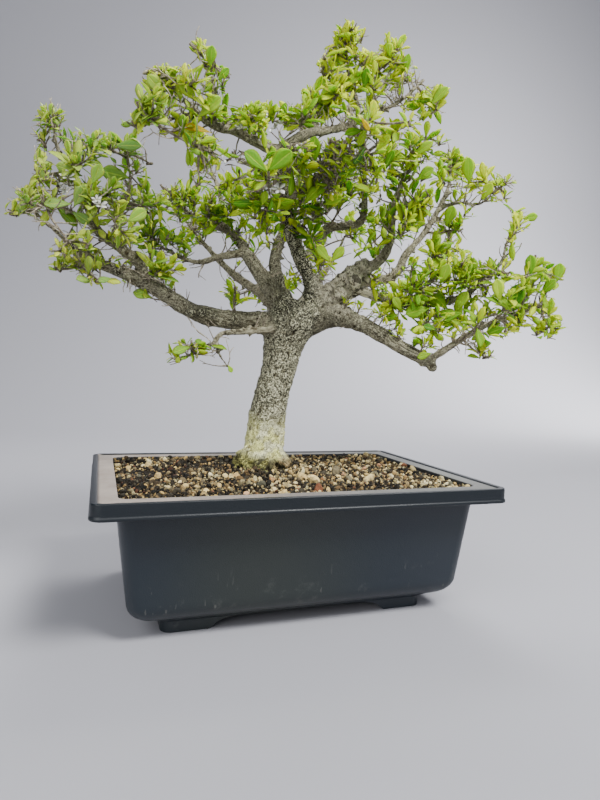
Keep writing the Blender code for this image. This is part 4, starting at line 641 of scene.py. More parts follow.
def new_mesh(name, points, triangles):
    """A mesh in metres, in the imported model's frame, from points in millimetres in the pot's."""
    mesh = bpy.data.meshes.new(name)
    mesh.vertices.add(len(points))
    mesh.vertices.foreach_set("co", ((points + POT_CENTRE) * MM).astype(np.float32).ravel())
    mesh.loops.add(3 * len(triangles))
    mesh.loops.foreach_set("vertex_index", triangles.astype(np.int32).ravel())
    mesh.polygons.add(len(triangles))
    mesh.polygons.foreach_set("loop_start", np.arange(0, 3 * len(triangles), 3, dtype=np.int32))
    mesh.update(calc_edges=True)
    return mesh


def link(name, data):
    """An object in the scene, at the origin."""
    item = bpy.data.objects.new(name, data)
    bpy.context.scene.collection.objects.link(item)
    return item


def carry(mesh, name, values):
    """Three values for each point, which a material reads by their name."""
    carried = mesh.attributes.new(name, "FLOAT_VECTOR", "POINT")
    carried.data.foreach_set("vector", values.astype(np.float32).ravel())


def modified(item, name, kind, settings):
    """An object's mesh as one modifier with these settings leaves it."""
    modifier = item.modifiers.new(name, kind)
    for key, value in settings.items():
        setattr(modifier, key, value)
    bpy.context.view_layer.update()
    mesh = bpy.data.meshes.new_from_object(item.evaluated_get(bpy.context.evaluated_depsgraph_get()))
    item.modifiers.clear()
    return mesh


def make_piece(name, heap, paints, replaces=(), smooth=True):
    """One piece of the bonsai from a heap, with its materials, riding on the model's only body. It hides
    the model's nodes that it stands for."""
    mesh = heap.mesh(name)
    mesh.polygons.foreach_set("use_smooth", np.full(len(mesh.polygons), smooth))
    carry(mesh, "look", np.concatenate(heap.looks))
    for paint in paints:
        mesh.materials.append(paint.material)
    mesh.polygons.foreach_set("material_index", np.concatenate(heap.slots).astype(np.int32))
    item = link(name, mesh)
    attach(item, "root")
    if replaces:
        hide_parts(*replaces)
    return item


class Val:
    """One value of a material. The usual operators add Math nodes."""

    def __init__(self, paint, socket):
        self.paint = paint
        self.socket = socket

    def maths(self, operation, first, second):
        """A Math node on two values or numbers."""
        return self.paint.node("ShaderNodeMath", {"operation": operation}, {0: first, 1: second})

    def __add__(self, other):
        return self.maths("ADD", self, other)

    def __sub__(self, other):
        return self.maths("SUBTRACT", self, other)

    def __rsub__(self, other):
        return self.maths("SUBTRACT", other, self)

    def __mul__(self, other):
        return self.maths("MULTIPLY", self, other)

    __radd__ = __add__
    __rmul__ = __mul__

    def __abs__(self):
        return self.maths("ABSOLUTE", self, 0.0)

    def over(self, low, high):
        """A smooth step from 0 at low to 1 at high."""
        return self.paint.node("ShaderNodeMapRange", {"interpolation_type": "SMOOTHSTEP"},
                               {"Value": self, "From Min": low, "From Max": high})


class Paint:
    """A material: a Principled shader, with its constant values set on its own sockets."""

    def __init__(self, name, constants):
        self.material = bpy.data.materials.new(name)
        self.material.use_nodes = True
        self.tree = self.material.node_tree
        self.shader = self.tree.nodes["Principled BSDF"]
        for socket, value in constants.items():
            self.shader.inputs[socket].default_value = value

    def node(self, kind, settings, inputs, output=0):
        """Add a node: first its settings or its ramp's stops, then its sockets' values or links."""
        item = self.tree.nodes.new(kind)
        for key, value in settings.items():
            if key == "stops":
                self.set_stops(item.color_ramp, value)
            else:
                setattr(item, key, value)
        for key, value in inputs.items():
            if isinstance(value, Val):
                self.tree.links.new(value.socket, item.inputs[key])
            else:
                item.inputs[key].default_value = value
        return Val(self, item.outputs[output])

    @staticmethod
    def set_stops(ramp, stops):
        """Give a colour ramp its stops, each a place and a colour."""
        while len(ramp.elements) < len(stops):
            ramp.elements.new(1.0)
        for element, (place, colour) in zip(ramp.elements, stops):
            element.position = place
            element.color = (*colour, 1.0)

    def wire(self, socket, value):
        """Link a value to the shader."""
        self.tree.links.new(value.socket, self.shader.inputs[socket])

    def place(self):
        """Object coordinates, in metres."""
        return self.node("ShaderNodeTexCoord", {}, {}, "Object")

    def look(self):
        """The three values that a piece's points carry."""
        carried = self.carried("look")
        return [self.part(carried, k) for k in range(3)]

    def carried(self, name):
        """A vector that a piece's points carry."""
        return self.node("ShaderNodeAttribute", {"attribute_name": name}, {}, "Vector")

    def part(self, vector, k):
        """A vector's X, Y or Z."""
        return self.node("ShaderNodeSeparateXYZ", {}, {0: vector}, k)

    def clouds(self, size, detail=3.0, rough=0.55, vector=None):
        """Noise from 0 to 1 whose broadest features are a size in metres."""
        return self.node("ShaderNodeTexNoise", {}, {
            "Vector": vector or self.place(), "Scale": 1 / size, "Detail": detail, "Roughness": rough})

    def ramp(self, value, stops):
        """A colour for each value."""
        return self.node("ShaderNodeValToRGB", {"stops": stops}, {0: value})

    def mix(self, share, first, second, blend="MIX"):
        """Two colours mixed by a share."""
        colours = [value if isinstance(value, Val) else (*value, 1.0) for value in (first, second)]
        return self.node("ShaderNodeMix", {"data_type": "RGBA", "blend_type": blend},
                         {0: share, 6: colours[0], 7: colours[1]}, 2)

    def bump(self, height, depth):
        """Raise the surface by a height times a depth in metres."""
        self.wire("Normal", self.node("ShaderNodeBump", {}, {"Distance": depth, "Height": height}))


def pot_paint():
    """Dark slate moulded plastic: a fine grain, faint scratches and dust near the foot, a painted greenish
    sheen across the body's middle, painted shade on the skirt, and a flange whose top is brown-grey with
    dust and a painted reflection, lighter at the left with painted light."""
    paint = Paint("slate_plastic", {"Specular IOR Level": 0.42})
    along, across, height = (paint.part(paint.place(), k) for k in range(3))
    wide = paint.clouds(0.16, 2.0)
    bead = abs(along + 0.019).over(0.1838, 0.1848) + abs(across + 0.035).over(0.1278, 0.1288)
    flange = height.over(0.1268, 0.1276) * (1 - bead)
    low = 1 - height.over(0.018, 0.07)
    dusty = low * paint.clouds(0.016, 6.0, 0.75).over(0.55, 0.72)
    scratch = paint.node("ShaderNodeMapping", {}, {"Vector": paint.place(), "Scale": (1.0, 1.0, 0.16)})
    scratch = low * paint.clouds(0.0035, 2.0, 0.4, scratch).over(0.70, 0.74)
    # painted sheen: the body is mixed towards a greener colour across its middle and stays bluer towards its
    # ends
    middle = (1 - abs(along + 0.06).over(0.0, 0.13)) * (0.5 + wide)
    base = paint.mix(middle * 0.7, (0.012, 0.018, 0.025), (0.026, 0.031, 0.024))
    base = paint.mix(dusty * 0.30 + scratch * 0.5, base, (0.13, 0.13, 0.115))
    film = paint.clouds(0.03, 4.0, 0.65)
    # painted shade: from 114 mm up, the skirt and the rim, the plastic is darkened almost to black; the
    # flange top is painted over it below
    base = paint.mix(height.over(0.1135, 0.1145) * 0.92, base, (0.003, 0.006, 0.009))
    # the flange top: dust with a painted reflection and painted light, lighter than the body and lightest at
    # the left
    lit_dusty_left = paint.mix(film.over(0.3, 0.7), (0.27, 0.225, 0.19), (0.38, 0.325, 0.28))
    dusty_sheen_right = paint.mix(film, (0.095, 0.098, 0.092), (0.165, 0.165, 0.155))
    top = paint.mix((along + 0.02 * (film - 0.5)).over(-0.17, 0.10), lit_dusty_left, dusty_sheen_right)
    paint.wire("Base Color", paint.mix(flange, base, top))
    paint.wire("Roughness", 0.34 + 0.14 * wide + 0.2 * dusty + 0.16 * flange)
    paint.bump(paint.clouds(0.0011, 2.0) + 0.5 * paint.clouds(0.012, 2.0), 0.00012)
    return paint


def gravel_paint():
    """Mixed gravel. The look's values are a stone's brightness, how tan it is, and how red."""
    paint = Paint("mixed_gravel", {"Roughness": 0.85, "Specular IOR Level": 0.2})
    tone, warm, red = paint.look()
    speckle = paint.clouds(0.0018, 4.0, 0.7)
    bright = tone + 0.34 * (speckle - 0.43)
    tan = paint.ramp(bright, [
        (0.0, (0.012, 0.010, 0.007)), (0.25, (0.060, 0.042, 0.022)), (0.42, (0.22, 0.135, 0.055)),
        (0.60, (0.50, 0.33, 0.115)), (0.78, (0.84, 0.62, 0.25)), (1.0, (1.0, 0.88, 0.52))])
    grey = paint.ramp(bright, [
        (0.0, (0.010, 0.010, 0.009)), (0.30, (0.036, 0.035, 0.028)), (0.50, (0.13, 0.125, 0.085)),
        (0.75, (0.36, 0.32, 0.17)), (1.0, (0.82, 0.72, 0.40))])
    stone = paint.mix(warm, grey, tan)
    stone = paint.mix(red, stone, paint.mix(bright, (0.05, 0.016, 0.009), (0.62, 0.24, 0.12)))
    soil = paint.clouds(0.0036, 4.0, 0.65).over(0.49, 0.60)
    paint.wire("Base Color", paint.mix(soil * 0.48, stone, (0.034, 0.028, 0.018)))
    paint.bump(speckle, 0.0007)
    return paint


def soil_paint():
    """Dark crumbly soil between the stones."""
    paint = Paint("dark_soil", {"Roughness": 0.95, "Specular IOR Level": 0.2})
    grain = paint.clouds(0.0035, 5.0, 0.7)
    paint.wire("Base Color", paint.ramp(grain, [
        (0.3, (0.006, 0.005, 0.004)), (0.55, (0.022, 0.018, 0.013)), (0.75, (0.08, 0.06, 0.045))]))
    paint.bump(grain, 0.002)
    return paint


def bark_paint():
    """Dark grey-brown bark under small pale flecks that run along the wood, cream low on the trunk and
    yellow-green and brown at its foot, with painted shade in dark pits on the burl and in dark hollows at
    the foot. The look's values are the share of flecks, the relief, and the share of pale burl. The grain
    attribute is the place, with lengths along the wood shortened."""
    paint = Paint("flecked_bark", {"Roughness": 0.86, "Specular IOR Level": 0.25})
    thick, relief, burl = paint.look()
    grain = paint.carried("grain")
    along, height = (paint.part(paint.place(), k) for k in (0, 2))
    broad = paint.clouds(0.024, 3.0)
    patchy = broad - 0.5
    fine = paint.clouds(0.0018, 3.0, 0.66, grain)
    grit = paint.clouds(0.0009, 2.0, 0.6, grain)
    rough = 0.5 * fine + 0.5 * grit
    dark = paint.mix(broad.over(0.35, 0.65), (0.072, 0.061, 0.037), (0.180, 0.157, 0.100))
    light = paint.mix(broad, (0.38, 0.35, 0.23), (0.58, 0.54, 0.37))
    wood = paint.mix(fine.over(0.34, 0.62), dark, light)
    wood = paint.mix(thick * 0.7, wood, dark)
    # the thick, flecked wood turns darker and carries fewer flecks from about 0.26 m up
    darker_high_up = (height + 0.05 * patchy).over(0.262, 0.30) * thick
    wood = paint.mix(thick * 0.75, wood, (0.030, 0.030, 0.020))
    wood = paint.mix(darker_high_up * 0.7, wood, (0.026, 0.025, 0.017))
    flecks = (rough + 0.12 * patchy - 0.02 * darker_high_up).over(0.517, 0.538)
    lichen = paint.mix(paint.clouds(0.014, 2.0), (0.60, 0.59, 0.38), (0.97, 0.95, 0.66))
    coat = paint.mix(flecks * (0.06 + 0.90 * thick), wood, lichen)
    coat = paint.mix(burl * rough.over(0.38, 0.47) * 0.9, coat, (0.86, 0.80, 0.58))
    # painted shade: dark pits on the burl stand for the shade in its hollows
    pits = paint.clouds(0.009, 3.0, 0.6).over(0.53, 0.59)
    coat = paint.mix(burl * pits * 0.85, coat, (0.045, 0.036, 0.024))
    low = 1 - (height + 0.040 * patchy + 0.040 * (fine - 0.5)).over(0.160, 0.192)
    cream = paint.mix(paint.clouds(0.012, 2.0).over(0.4, 0.6), (1.0, 1.0, 0.62), (1.0, 1.0, 0.38))
    pale = paint.mix(rough.over(0.395, 0.475), (0.17, 0.17, 0.085), cream)
    coat = paint.mix(low * 0.92, coat, pale)
    foot = 1 - (height + 0.03 * patchy).over(0.134, 0.150)
    mossy = paint.mix(rough.over(0.43, 0.58), (0.040, 0.040, 0.012), (0.56, 0.54, 0.16))
    rooty = paint.mix(grit.over(0.36, 0.6), (0.05, 0.032, 0.014), (0.34, 0.24, 0.11))
    mossy = paint.mix((along + 0.012 * patchy).over(-0.032, -0.016), mossy, rooty)
    # painted shade: dark hollows at the trunk's foot
    hollow = paint.clouds(0.008, 3.0, 0.6).over(0.47, 0.54)
    mossy = paint.mix(hollow * 0.85, mossy, (0.026, 0.019, 0.011))
    coat = paint.mix(foot * 0.95, coat, mossy)
    shade = paint.mix(relief.over(0.05, 0.45), (0.20, 0.17, 0.13), (1.0, 1.0, 1.0))
    paint.wire("Base Color", paint.mix(1.0, coat, shade, "MULTIPLY"))
    paint.bump(fine + 0.6 * grit + 0.3 * broad, 0.0018)
    return paint


def twig_paint():
    """Thin twigs, grey-brown and scarred, that dry to pale beige. The look's first value is dryness."""
    paint = Paint("twig_bark", {"Roughness": 0.8, "Specular IOR Level": 0.25})
    dry, _, _ = paint.look()
    grain = paint.clouds(0.0028, 3.0, 0.6)
    live = paint.ramp(grain, [
        (0.3, (0.035, 0.028, 0.019)), (0.5, (0.13, 0.105, 0.07)), (0.68, (0.34, 0.30, 0.21))])
    bare = paint.ramp(grain, [
        (0.3, (0.20, 0.16, 0.11)), (0.5, (0.48, 0.42, 0.30)), (0.68, (0.74, 0.68, 0.52))])
    paint.wire("Base Color", paint.mix(dry, live, bare))
    paint.bump(grain, 0.0006)
    return paint


def leaf_paint():
    """Glossy blades that let light through. The look's values are the share across, the share along and
    the leaf's tone."""
    paint = Paint("tea_leaf", {
        "Specular IOR Level": 0.06, "Subsurface Weight": 0.35, "Subsurface Radius": (0.5, 1.0, 0.05),
        "Subsurface Scale": 0.002})
    across, along, tone = paint.look()
    mottle = paint.clouds(0.004, 2.0)
    blade = paint.ramp(tone + 0.10 * (mottle - 0.5), [
        (0.0, (0.024, 0.095, 0.030)), (0.20, (0.075, 0.22, 0.008)), (0.45, (0.27, 0.45, 0.024)),
        (0.70, (0.54, 0.70, 0.020)), (0.88, (0.74, 0.83, 0.06)), (1.0, (0.44, 0.27, 0.0))])
    # painted haze: towards the left the leaves are mixed towards a pale grey-green
    to_left = 1 - paint.part(paint.place(), 0).over(-0.26, -0.06)
    blade = paint.mix(to_left * 0.35, blade, (0.27, 0.31, 0.17))
    rib = 1 - abs(across).over(0.03, 0.15)
    side_veins = paint.node("ShaderNodeMath", {"operation": "PINGPONG"},
                            {0: along * 7.0 - abs(across) * 2.2, 1: 0.5})
    veins = (1 - side_veins.over(0.0, 0.16)) * 0.10
    rim = abs(across).over(0.82, 0.98)
    pale = paint.mix(0.5, blade, (0.62, 0.76, 0.08))
    paint.wire("Base Color", paint.mix(rib * 0.55 + veins + 0.3 * rim, blade, pale))
    paint.wire("Roughness", 0.40 + 0.18 * mottle)
    paint.bump(rib * -1.0 + mottle * 0.6 - veins, 0.0003)
    return paint


def petal_paint():
    """White petals, warmer towards the middle."""
    paint = Paint("white_petal", {"Roughness": 0.6, "Subsurface Weight": 0.1})
    out, _, _ = paint.look()
    paint.wire("Base Color", paint.mix(out.over(0.0, 0.35), (0.62, 0.60, 0.22), (0.86, 0.85, 0.76)))
    return paint


def moss_paint():
    """Yellow-green moss."""
    paint = Paint("foot_moss", {"Roughness": 0.9, "Specular IOR Level": 0.2})
    tone, _, _ = paint.look()
    paint.wire("Base Color", paint.mix(tone, (0.035, 0.038, 0.010), (0.26, 0.27, 0.06)))
    return paint


def rounded_rectangle(half_x, half_y, radius, corner_steps=10):
    """Points round a rectangle with round corners, counterclockwise: corner centre plus radius times
    the cosine and sine of the corner's angles."""
    angles = (np.arange(4)[:, None] + np.linspace(0, 1, corner_steps)[None]) * math.pi / 2
    signs = np.array([(1, 1), (-1, 1), (-1, -1), (1, -1)])[:, None]
    centres = signs * (np.array((half_x, half_y)) - radius)
    turns = np.stack([np.cos(angles), np.sin(angles)], -1) * radius
    return (centres + turns).reshape(-1, 2)


def level_ring(inset, corner, z):
    """A ring this far inside the pot's outer rim."""
    flat = rounded_rectangle(POT_HALF[0] - inset, POT_HALF[1] - inset, corner)
    return np.column_stack([flat, np.full(len(flat), z)])


def soft_corners(section, radius, steps=4):
    """A section of inset, corner and height whose inner points become short quadratic curves."""
    rows = np.array(section, float)
    out = [rows[:1]]
    t = np.linspace(0, 1, steps)[:, None]
    for before, here, after in zip(rows, rows[1:], rows[2:]):
        sides = [(end - here, np.linalg.norm((end - here)[[0, 2]])) for end in (before, after)]
        reach = min(radius, *(0.45 * length for _, length in sides))
        start, end = (here + side * reach / length for side, length in sides)
        out.append((1 - t) ** 2 * start + 2 * t * (1 - t) * here + t ** 2 * end)
    return np.vstack(out + [rows[-1:]])


def wall_section(shift, floor):
    """The wall's inset, corner and height, from the floor up round a quarter circle to the flange."""
    angles = np.linspace(0, math.pi / 2, WALL_CURVE_POINTS)
    foot = WALL_FOOT_Z - floor
    inset = WALL_INSET[1] + shift + foot * (1 - np.sin(angles))
    corner = np.full(WALL_CURVE_POINTS, WALL_CORNER - shift)
    rows = np.column_stack([inset, corner, WALL_FOOT_Z - foot * np.cos(angles)])
    return np.vstack([rows, (WALL_INSET[0] + shift, WALL_CORNER - shift, FLANGE_UNDERSIDE)])


def arch_height(ring):
    """How high the foot's underside is: zero at the corners, a quarter ellipse up to the plinth in
    the middle of each side."""
    heights = np.zeros(len(ring))
    sides = ((0, ARCH_FRONT, FOOT_HALF[1]), (1, ARCH_SIDE, FOOT_HALF[0]))
    for axis, (half_top, half_ground), half in sides:
        share = (np.abs(ring[:, axis]) - half_top) / (half_ground - half_top)
        rise = PLINTH_Z * np.sqrt(np.clip(1 - np.clip(share, 0, 1) ** 2, 0, 1))
        on_side = np.abs(ring[:, 1 - axis]) > half - FOOT_WALL - 1
        heights = np.where(on_side, np.maximum(heights, rise), heights)
    return heights


def foot_path(half_x, half_y, radius):
    """A rounded rectangle whose straight sides have many even steps each, for the arches' edges."""
    corners = rounded_rectangle(half_x, half_y, radius, 7)
    parts = []
    for start, end in zip(corners, np.roll(corners, -1, axis=0)):
        steps = ARCH_STEPS if np.linalg.norm(end - start) > 4 * radius else 2
        parts.append(start + (end - start) * np.linspace(0, 1, steps, endpoint=False)[:, None])
    return np.vstack(parts)


def build_pot(paint):
    """The pot: its shell is one loft of its whole section, its foot a ring with arched underside."""
    outside = wall_section(0, POT_FLOOR[0])
    skirt = soft_corners([outside[-1], *SKIRT], SKIRT_ROUNDING)
    inside = wall_section(WALL_THICK, POT_FLOOR[1])[::-1]
    section = np.vstack([outside[:-1], skirt, inside[1:]])
    shell = Heap()
    shell.add(*loft(np.array([level_ring(*row) for row in section])))
    pot = make_piece("training_pot", shell, [paint], ["pot"])
    cut_drains(pot)
    pot.data.set_sharp_from_angle(angle=POT_CREASE)
    ring = foot_path(*FOOT_HALF, FOOT_CORNER)
    low = arch_height(ring)
    half = np.array(FOOT_HALF) - FOOT_WALL
    inner = np.clip(ring, -half, half)
    wide = ring * (np.array(PLINTH_HALF) / FOOT_HALF)
    rows = [(wide, PLINTH_TOP_Z), (wide, PLINTH_EDGE_Z), (ring, PLINTH_Z), (ring, low), (inner, low),
            (inner, PLINTH_TOP_Z)]
    count = len(ring)
    grid = np.array([np.column_stack([flat, np.broadcast_to(z, count)]) for flat, z in rows])
    triangles = grid_triangles(len(rows) + 1, count, True) % (len(rows) * count)
    feet = Heap()
    feet.add(grid.reshape(-1, 3), triangles[:, ::-1])
    feet = make_piece("pot_feet", feet, [paint])
    feet.data.set_sharp_from_angle(angle=FEET_CREASE)


def cut_drains(pot):
    """Cut the drain holes through the pot's bottom with one Boolean."""
    angles = np.arange(DRAIN_SIDES) * TAU / DRAIN_SIDES
    drills = Heap()
    for x, y in DRAIN_PLACES:
        circle = np.column_stack([x + DRAIN_RADIUS * np.cos(angles), y + DRAIN_RADIUS * np.sin(angles)])
        rings = [np.column_stack([circle, np.full(DRAIN_SIDES, z)]) for z in DRILL_ENDS]
        drills.add(*loft(np.array(rings)))
    cutter = link("drill", drills.mesh("drill"))
    pot.data = modified(pot, "drains", "BOOLEAN", {"operation": "DIFFERENCE", "object": cutter})
    bpy.data.objects.remove(cutter)


def round_trunk(angle, out):
    """X and Y at angles and distances from the middle of the trunk's foot."""
    return TRUNK_FOOT[0] + out * np.cos(angle), TRUNK_FOOT[1] + out * np.sin(angle)


def soil_height(x, y):
    """A low mound over the whole bed, the greater of two rises, towards the back and towards the right,
    and a mound round the trunk's foot."""
    half_x = POT_HALF[0] - WALL_INSET[0]
    half_y = POT_HALF[1] - WALL_INSET[0]
    edge = np.minimum(np.maximum(np.abs(x) / half_x, np.abs(y) / half_y), 1.0)
    back = SOIL_BACK_RISE * np.clip(y / half_y, 0, 1) ** 2
    right = SOIL_RIGHT_RISE * np.clip(x / half_x, 0, 1) ** 3
    rise, width = SOIL_AT_TRUNK
    to_trunk = np.hypot(x - TRUNK_FOOT[0], y - TRUNK_FOOT[1])
    return (SOIL_AT_WALL + SOIL_MOUND * (1 - edge ** 2) + np.maximum(back, right)
            + rise * np.exp(-(to_trunk / width) ** 2))


def build_soil(paint):
    """The soil that fills the pot: rings down the wall and over the bottom, and a rough top of
    shrinking rings at the mound's height plus noise."""
    inset = WALL_THICK + SOIL_GAP
    wall = wall_section(inset, POT_FLOOR[1] + SOIL_GAP)
    wall[-1] = (WALL_INSET[0] + inset + 0.6, WALL_CORNER - inset, SOIL_AT_WALL - 2)
    sides = np.array([level_ring(*row) for row in wall])
    flat = sides[-1][None, :, :2] * np.linspace(0.995, 0.01, SOIL_RINGS)[:, None, None]
    z = soil_height(flat[..., 0], flat[..., 1]) - SOIL_SINK
    top = np.concatenate([flat, z[..., None]], -1)
    top[..., 2] += SOIL_ROUGHNESS * ragged(top, 7.0, 3, 5)
    heap = Heap()
    heap.add(*loft(np.concatenate([sides, top])))
    return make_piece("soil_bed", heap, [paint], ["soil"])


def icosphere(level):
    """Points and triangles of a round ball from an icosahedron, split by halving its edges."""
    g = (1 + 5 ** 0.5) / 2
    points = unit(np.array([(-1, g, 0), (1, g, 0), (-1, -g, 0), (1, -g, 0), (0, -1, g), (0, 1, g),
                            (0, -1, -g), (0, 1, -g), (g, 0, -1), (g, 0, 1), (-g, 0, -1), (-g, 0, 1)], float))
    faces = np.array([(0, 11, 5), (0, 5, 1), (0, 1, 7), (0, 7, 10), (0, 10, 11), (1, 5, 9), (5, 11, 4),
                      (11, 10, 2), (10, 7, 6), (7, 1, 8), (3, 9, 4), (3, 4, 2), (3, 2, 6), (3, 6, 8),
                      (3, 8, 9), (4, 9, 5), (2, 4, 11), (6, 2, 10), (8, 6, 7), (9, 8, 1)])
    for _ in range(level):
        pairs, back = np.unique(np.sort(edges_of(faces), axis=1), axis=0, return_inverse=True)
        ab, bc, ca = len(points) + back.reshape(3, -1)
        points = np.vstack([points, unit(points[pairs[:, 0]] + points[pairs[:, 1]])])
        a, b, c = faces.T
        parts = ((a, ab, ca), (b, bc, ab), (c, ca, bc), (ab, bc, ca))
        faces = np.concatenate([np.stack(part, -1) for part in parts])
    return points, faces


def random_turns(count, draw):
    """Random rotation matrices, from random quaternions."""
    w, x, y, z = unit(draw.normal(size=(count, 4))).T
    return np.stack([
        np.stack([1 - 2 * (y * y + z * z), 2 * (x * y - z * w), 2 * (x * z + y * w)], -1),
        np.stack([2 * (x * y + z * w), 1 - 2 * (x * x + z * z), 2 * (y * z - x * w)], -1),
        np.stack([2 * (x * z - y * w), 2 * (y * z + x * w), 1 - 2 * (x * x + y * y)], -1)], -2)


def stones(places, radii, level, draw):
    """Crushed stones: along each direction of a ball a stone reaches to the nearest of nine random
    flats, at most 1.1 radii out. Each is stretched along three axes, turned at random and laid in place."""
    ball, faces = icosphere(level)
    count = len(places)
    flats = unit(draw.normal(size=(count, 9, 3)))
    depths = draw.uniform(0.55, 1.0, (count, 1, 9))
    facing = np.maximum(np.einsum("vi,nki->nvk", ball, flats), 0.2)
    reach = np.minimum((depths / facing).min(axis=-1), 1.1)
    stretch = np.stack([np.ones(count), draw.uniform(0.68, 0.95, count), draw.uniform(0.5, 0.8, count)], -1)
    shape = ball[None] * reach[..., None] * (radii[:, None] * stretch)[:, None]
    turned = np.einsum("nij,npj->npi", random_turns(count, draw), shape)
    return (turned + places[:, None]).reshape(-1, 3), copies(faces, count, len(ball)), len(ball)


def scatter(cell, jitter, draw, margin):
    """Places on a jittered grid inside the wall, clear of the trunk."""
    half = np.array(POT_HALF) - WALL_INSET[0] - WALL_THICK - margin
    grid = np.meshgrid(*(np.arange(-side, side, cell) for side in half))
    flat = np.stack(grid, -1).reshape(-1, 2)
    flat = np.clip(flat + draw.uniform(-jitter, jitter, flat.shape), -half, half)
    away = np.hypot(flat[:, 0] - TRUNK_FOOT[0], flat[:, 1] - TRUNK_FOOT[1])
    return flat[away > TRUNK_CLEARANCE]


def build_gravel(paint):
    """Gravel in three sizes over the soil, from black grit to cream, and among the coarse ones the
    photograph's largest stones, each where its sight line meets the bed. Stones are dark where a noise
    is high, and by how far they lie inside the ellipse of a dark patch."""
    draw = draws(1)
    patches = np.array(DARK_SOIL, float)
    for name, cell, level, radii, margin, lift, bright in GRAVEL_KINDS:
        flat = scatter(cell, 0.5 * cell, draw, margin)
        count = len(flat)
        sizes = draw.uniform(*radii, count)
        z = soil_height(flat[:, 0], flat[:, 1]) + lift + draw.uniform(-1.1, 0.9, count)
        places = np.column_stack([flat, z])
        inside = 1.4 - (((seen_at(places)[:, None] - patches[:, :2]) / patches[:, 2:]) ** 2).sum(axis=-1)
        dark = np.maximum(noise(np.column_stack([flat, np.zeros(count)]), 30.0, 9), 0)
        dark = np.maximum(dark, np.clip(inside.max(axis=1), 0, 1))
        to_right = 0.05 * np.clip(flat[:, 0] / 120, -0.3, 1)
        tone = np.clip((draw.beta(0.75, 0.85, count) - 0.34 * dark + to_right) * bright, 0, 1)
        warm = draw.beta(0.8, 0.7, count)
        red = np.where(draw.uniform(size=count) < RED_SHARE, draw.uniform(0.3, 0.8, count), 0.0)
        looks = np.column_stack([tone, warm, red])
        if name == "coarse_gravel":
            large = np.array(LARGE_STONES)
            sights = np.array([sight_line(row[:2]) for row in large])
            spots = EYE + sights * ((BED_LEVEL - EYE[2]) / sights[:, 2:])
            spots[:, 2] = soil_height(spots[:, 0], spots[:, 1]) + LARGE_STONE_LIFT
            places = np.vstack([places, spots])
            sizes = np.concatenate([sizes, large[:, 2]])
            looks = np.vstack([looks, large[:, 3:]])
        points, triangles, each = stones(places, sizes, level, draw)
        heap = Heap()
        heap.add(points, triangles, np.repeat(looks, each, axis=0))
        make_piece(name, heap, [paint], smooth=False)


def root_path(angle, reach, start_z, radius, draw):
    """A surface root: out of the flare, dipping and winding over the soil, then down into it."""
    t = np.linspace(0, 1, 16)
    turn = angle + 0.5 * draw.uniform(-1, 1) * t ** 2 + 0.12 * np.sin(7 * t + draw.uniform(0, 6))
    x, y = round_trunk(turn, 12 + reach * t)
    ground = soil_height(x, y)
    z = start_z + (ground + 0.4 - start_z) * np.minimum(1, 1.7 * t) ** 0.7 - 9 * np.maximum(0, t - 0.72)
    return np.column_stack([x, y, z]), radius * (1 - 0.62 * t)


def remeshed(heap, voxel):
    """The union of a heap's shapes as one skin, by voxels of a size in millimetres."""
    item = link("union", heap.mesh("union"))
    done = modified(item, "voxels", "REMESH", {"mode": "VOXEL", "voxel_size": voxel * MM})
    points = np.empty(len(done.vertices) * 3, np.float32)
    done.vertices.foreach_get("co", points)
    done.calc_loop_triangles()
    triangles = np.empty(len(done.loop_triangles) * 3, np.int32)
    done.loop_triangles.foreach_get("vertices", triangles)
    bpy.data.objects.remove(item)
    return points.reshape(-1, 3).astype(float) / MM - POT_CENTRE, triangles.reshape(-1, 3)


def relaxed(points, triangles, rounds):
    """Each point moved half-way to the mean of its neighbours, a few times over."""
    start, end = edges_of(triangles).T
    count = np.bincount(start, minlength=len(points))[:, None]
    for _ in range(rounds):
        points = 0.5 * points + 0.5 * gathered(start, points[end], len(points)) / count
    return points


def point_normals(points, triangles):
    """Unit normals: the sum of the normals of the triangles round each point."""
    a, b, c = (points[triangles[:, k]] for k in range(3))
    normals = np.repeat(np.cross(b - a, c - a), 3, axis=0)
    return unit(gathered(triangles.ravel(), normals, len(points)))


def nearest_station(points, stations):
    """For each point, the index of the station whose surface is nearest."""
    best = np.empty(len(points), int)
    for start in range(0, len(points), 4000):
        part = points[start:start + 4000]
        away = np.linalg.norm(part[:, None] - stations[None, :, :3], axis=-1) - stations[None, :, 3]
        best[start:start + 4000] = np.argmin(away, axis=1)
    return best


def spurs(path, draw, count):
    """Short knobby stubs that lean forward off a branch: paths and radii."""
    for _ in range(count):
        here = path[draw.integers(2, len(path) - 1)]
        along = unit(path[-1, :3] - path[0, :3])
        way = unit(unit(draw.normal(size=3)) + 0.35 * along + (0, 0, 0.2))
        radius = min(draw.uniform(*SPUR_RADII), 0.75 * here[3] + 0.6)
        tip = here[:3] + way * (here[3] + draw.uniform(*SPUR_REACH))
        yield np.linspace(here[:3], tip, 5), radius * np.array((1.1, 1.0, 0.85, 1.05, 0.7))


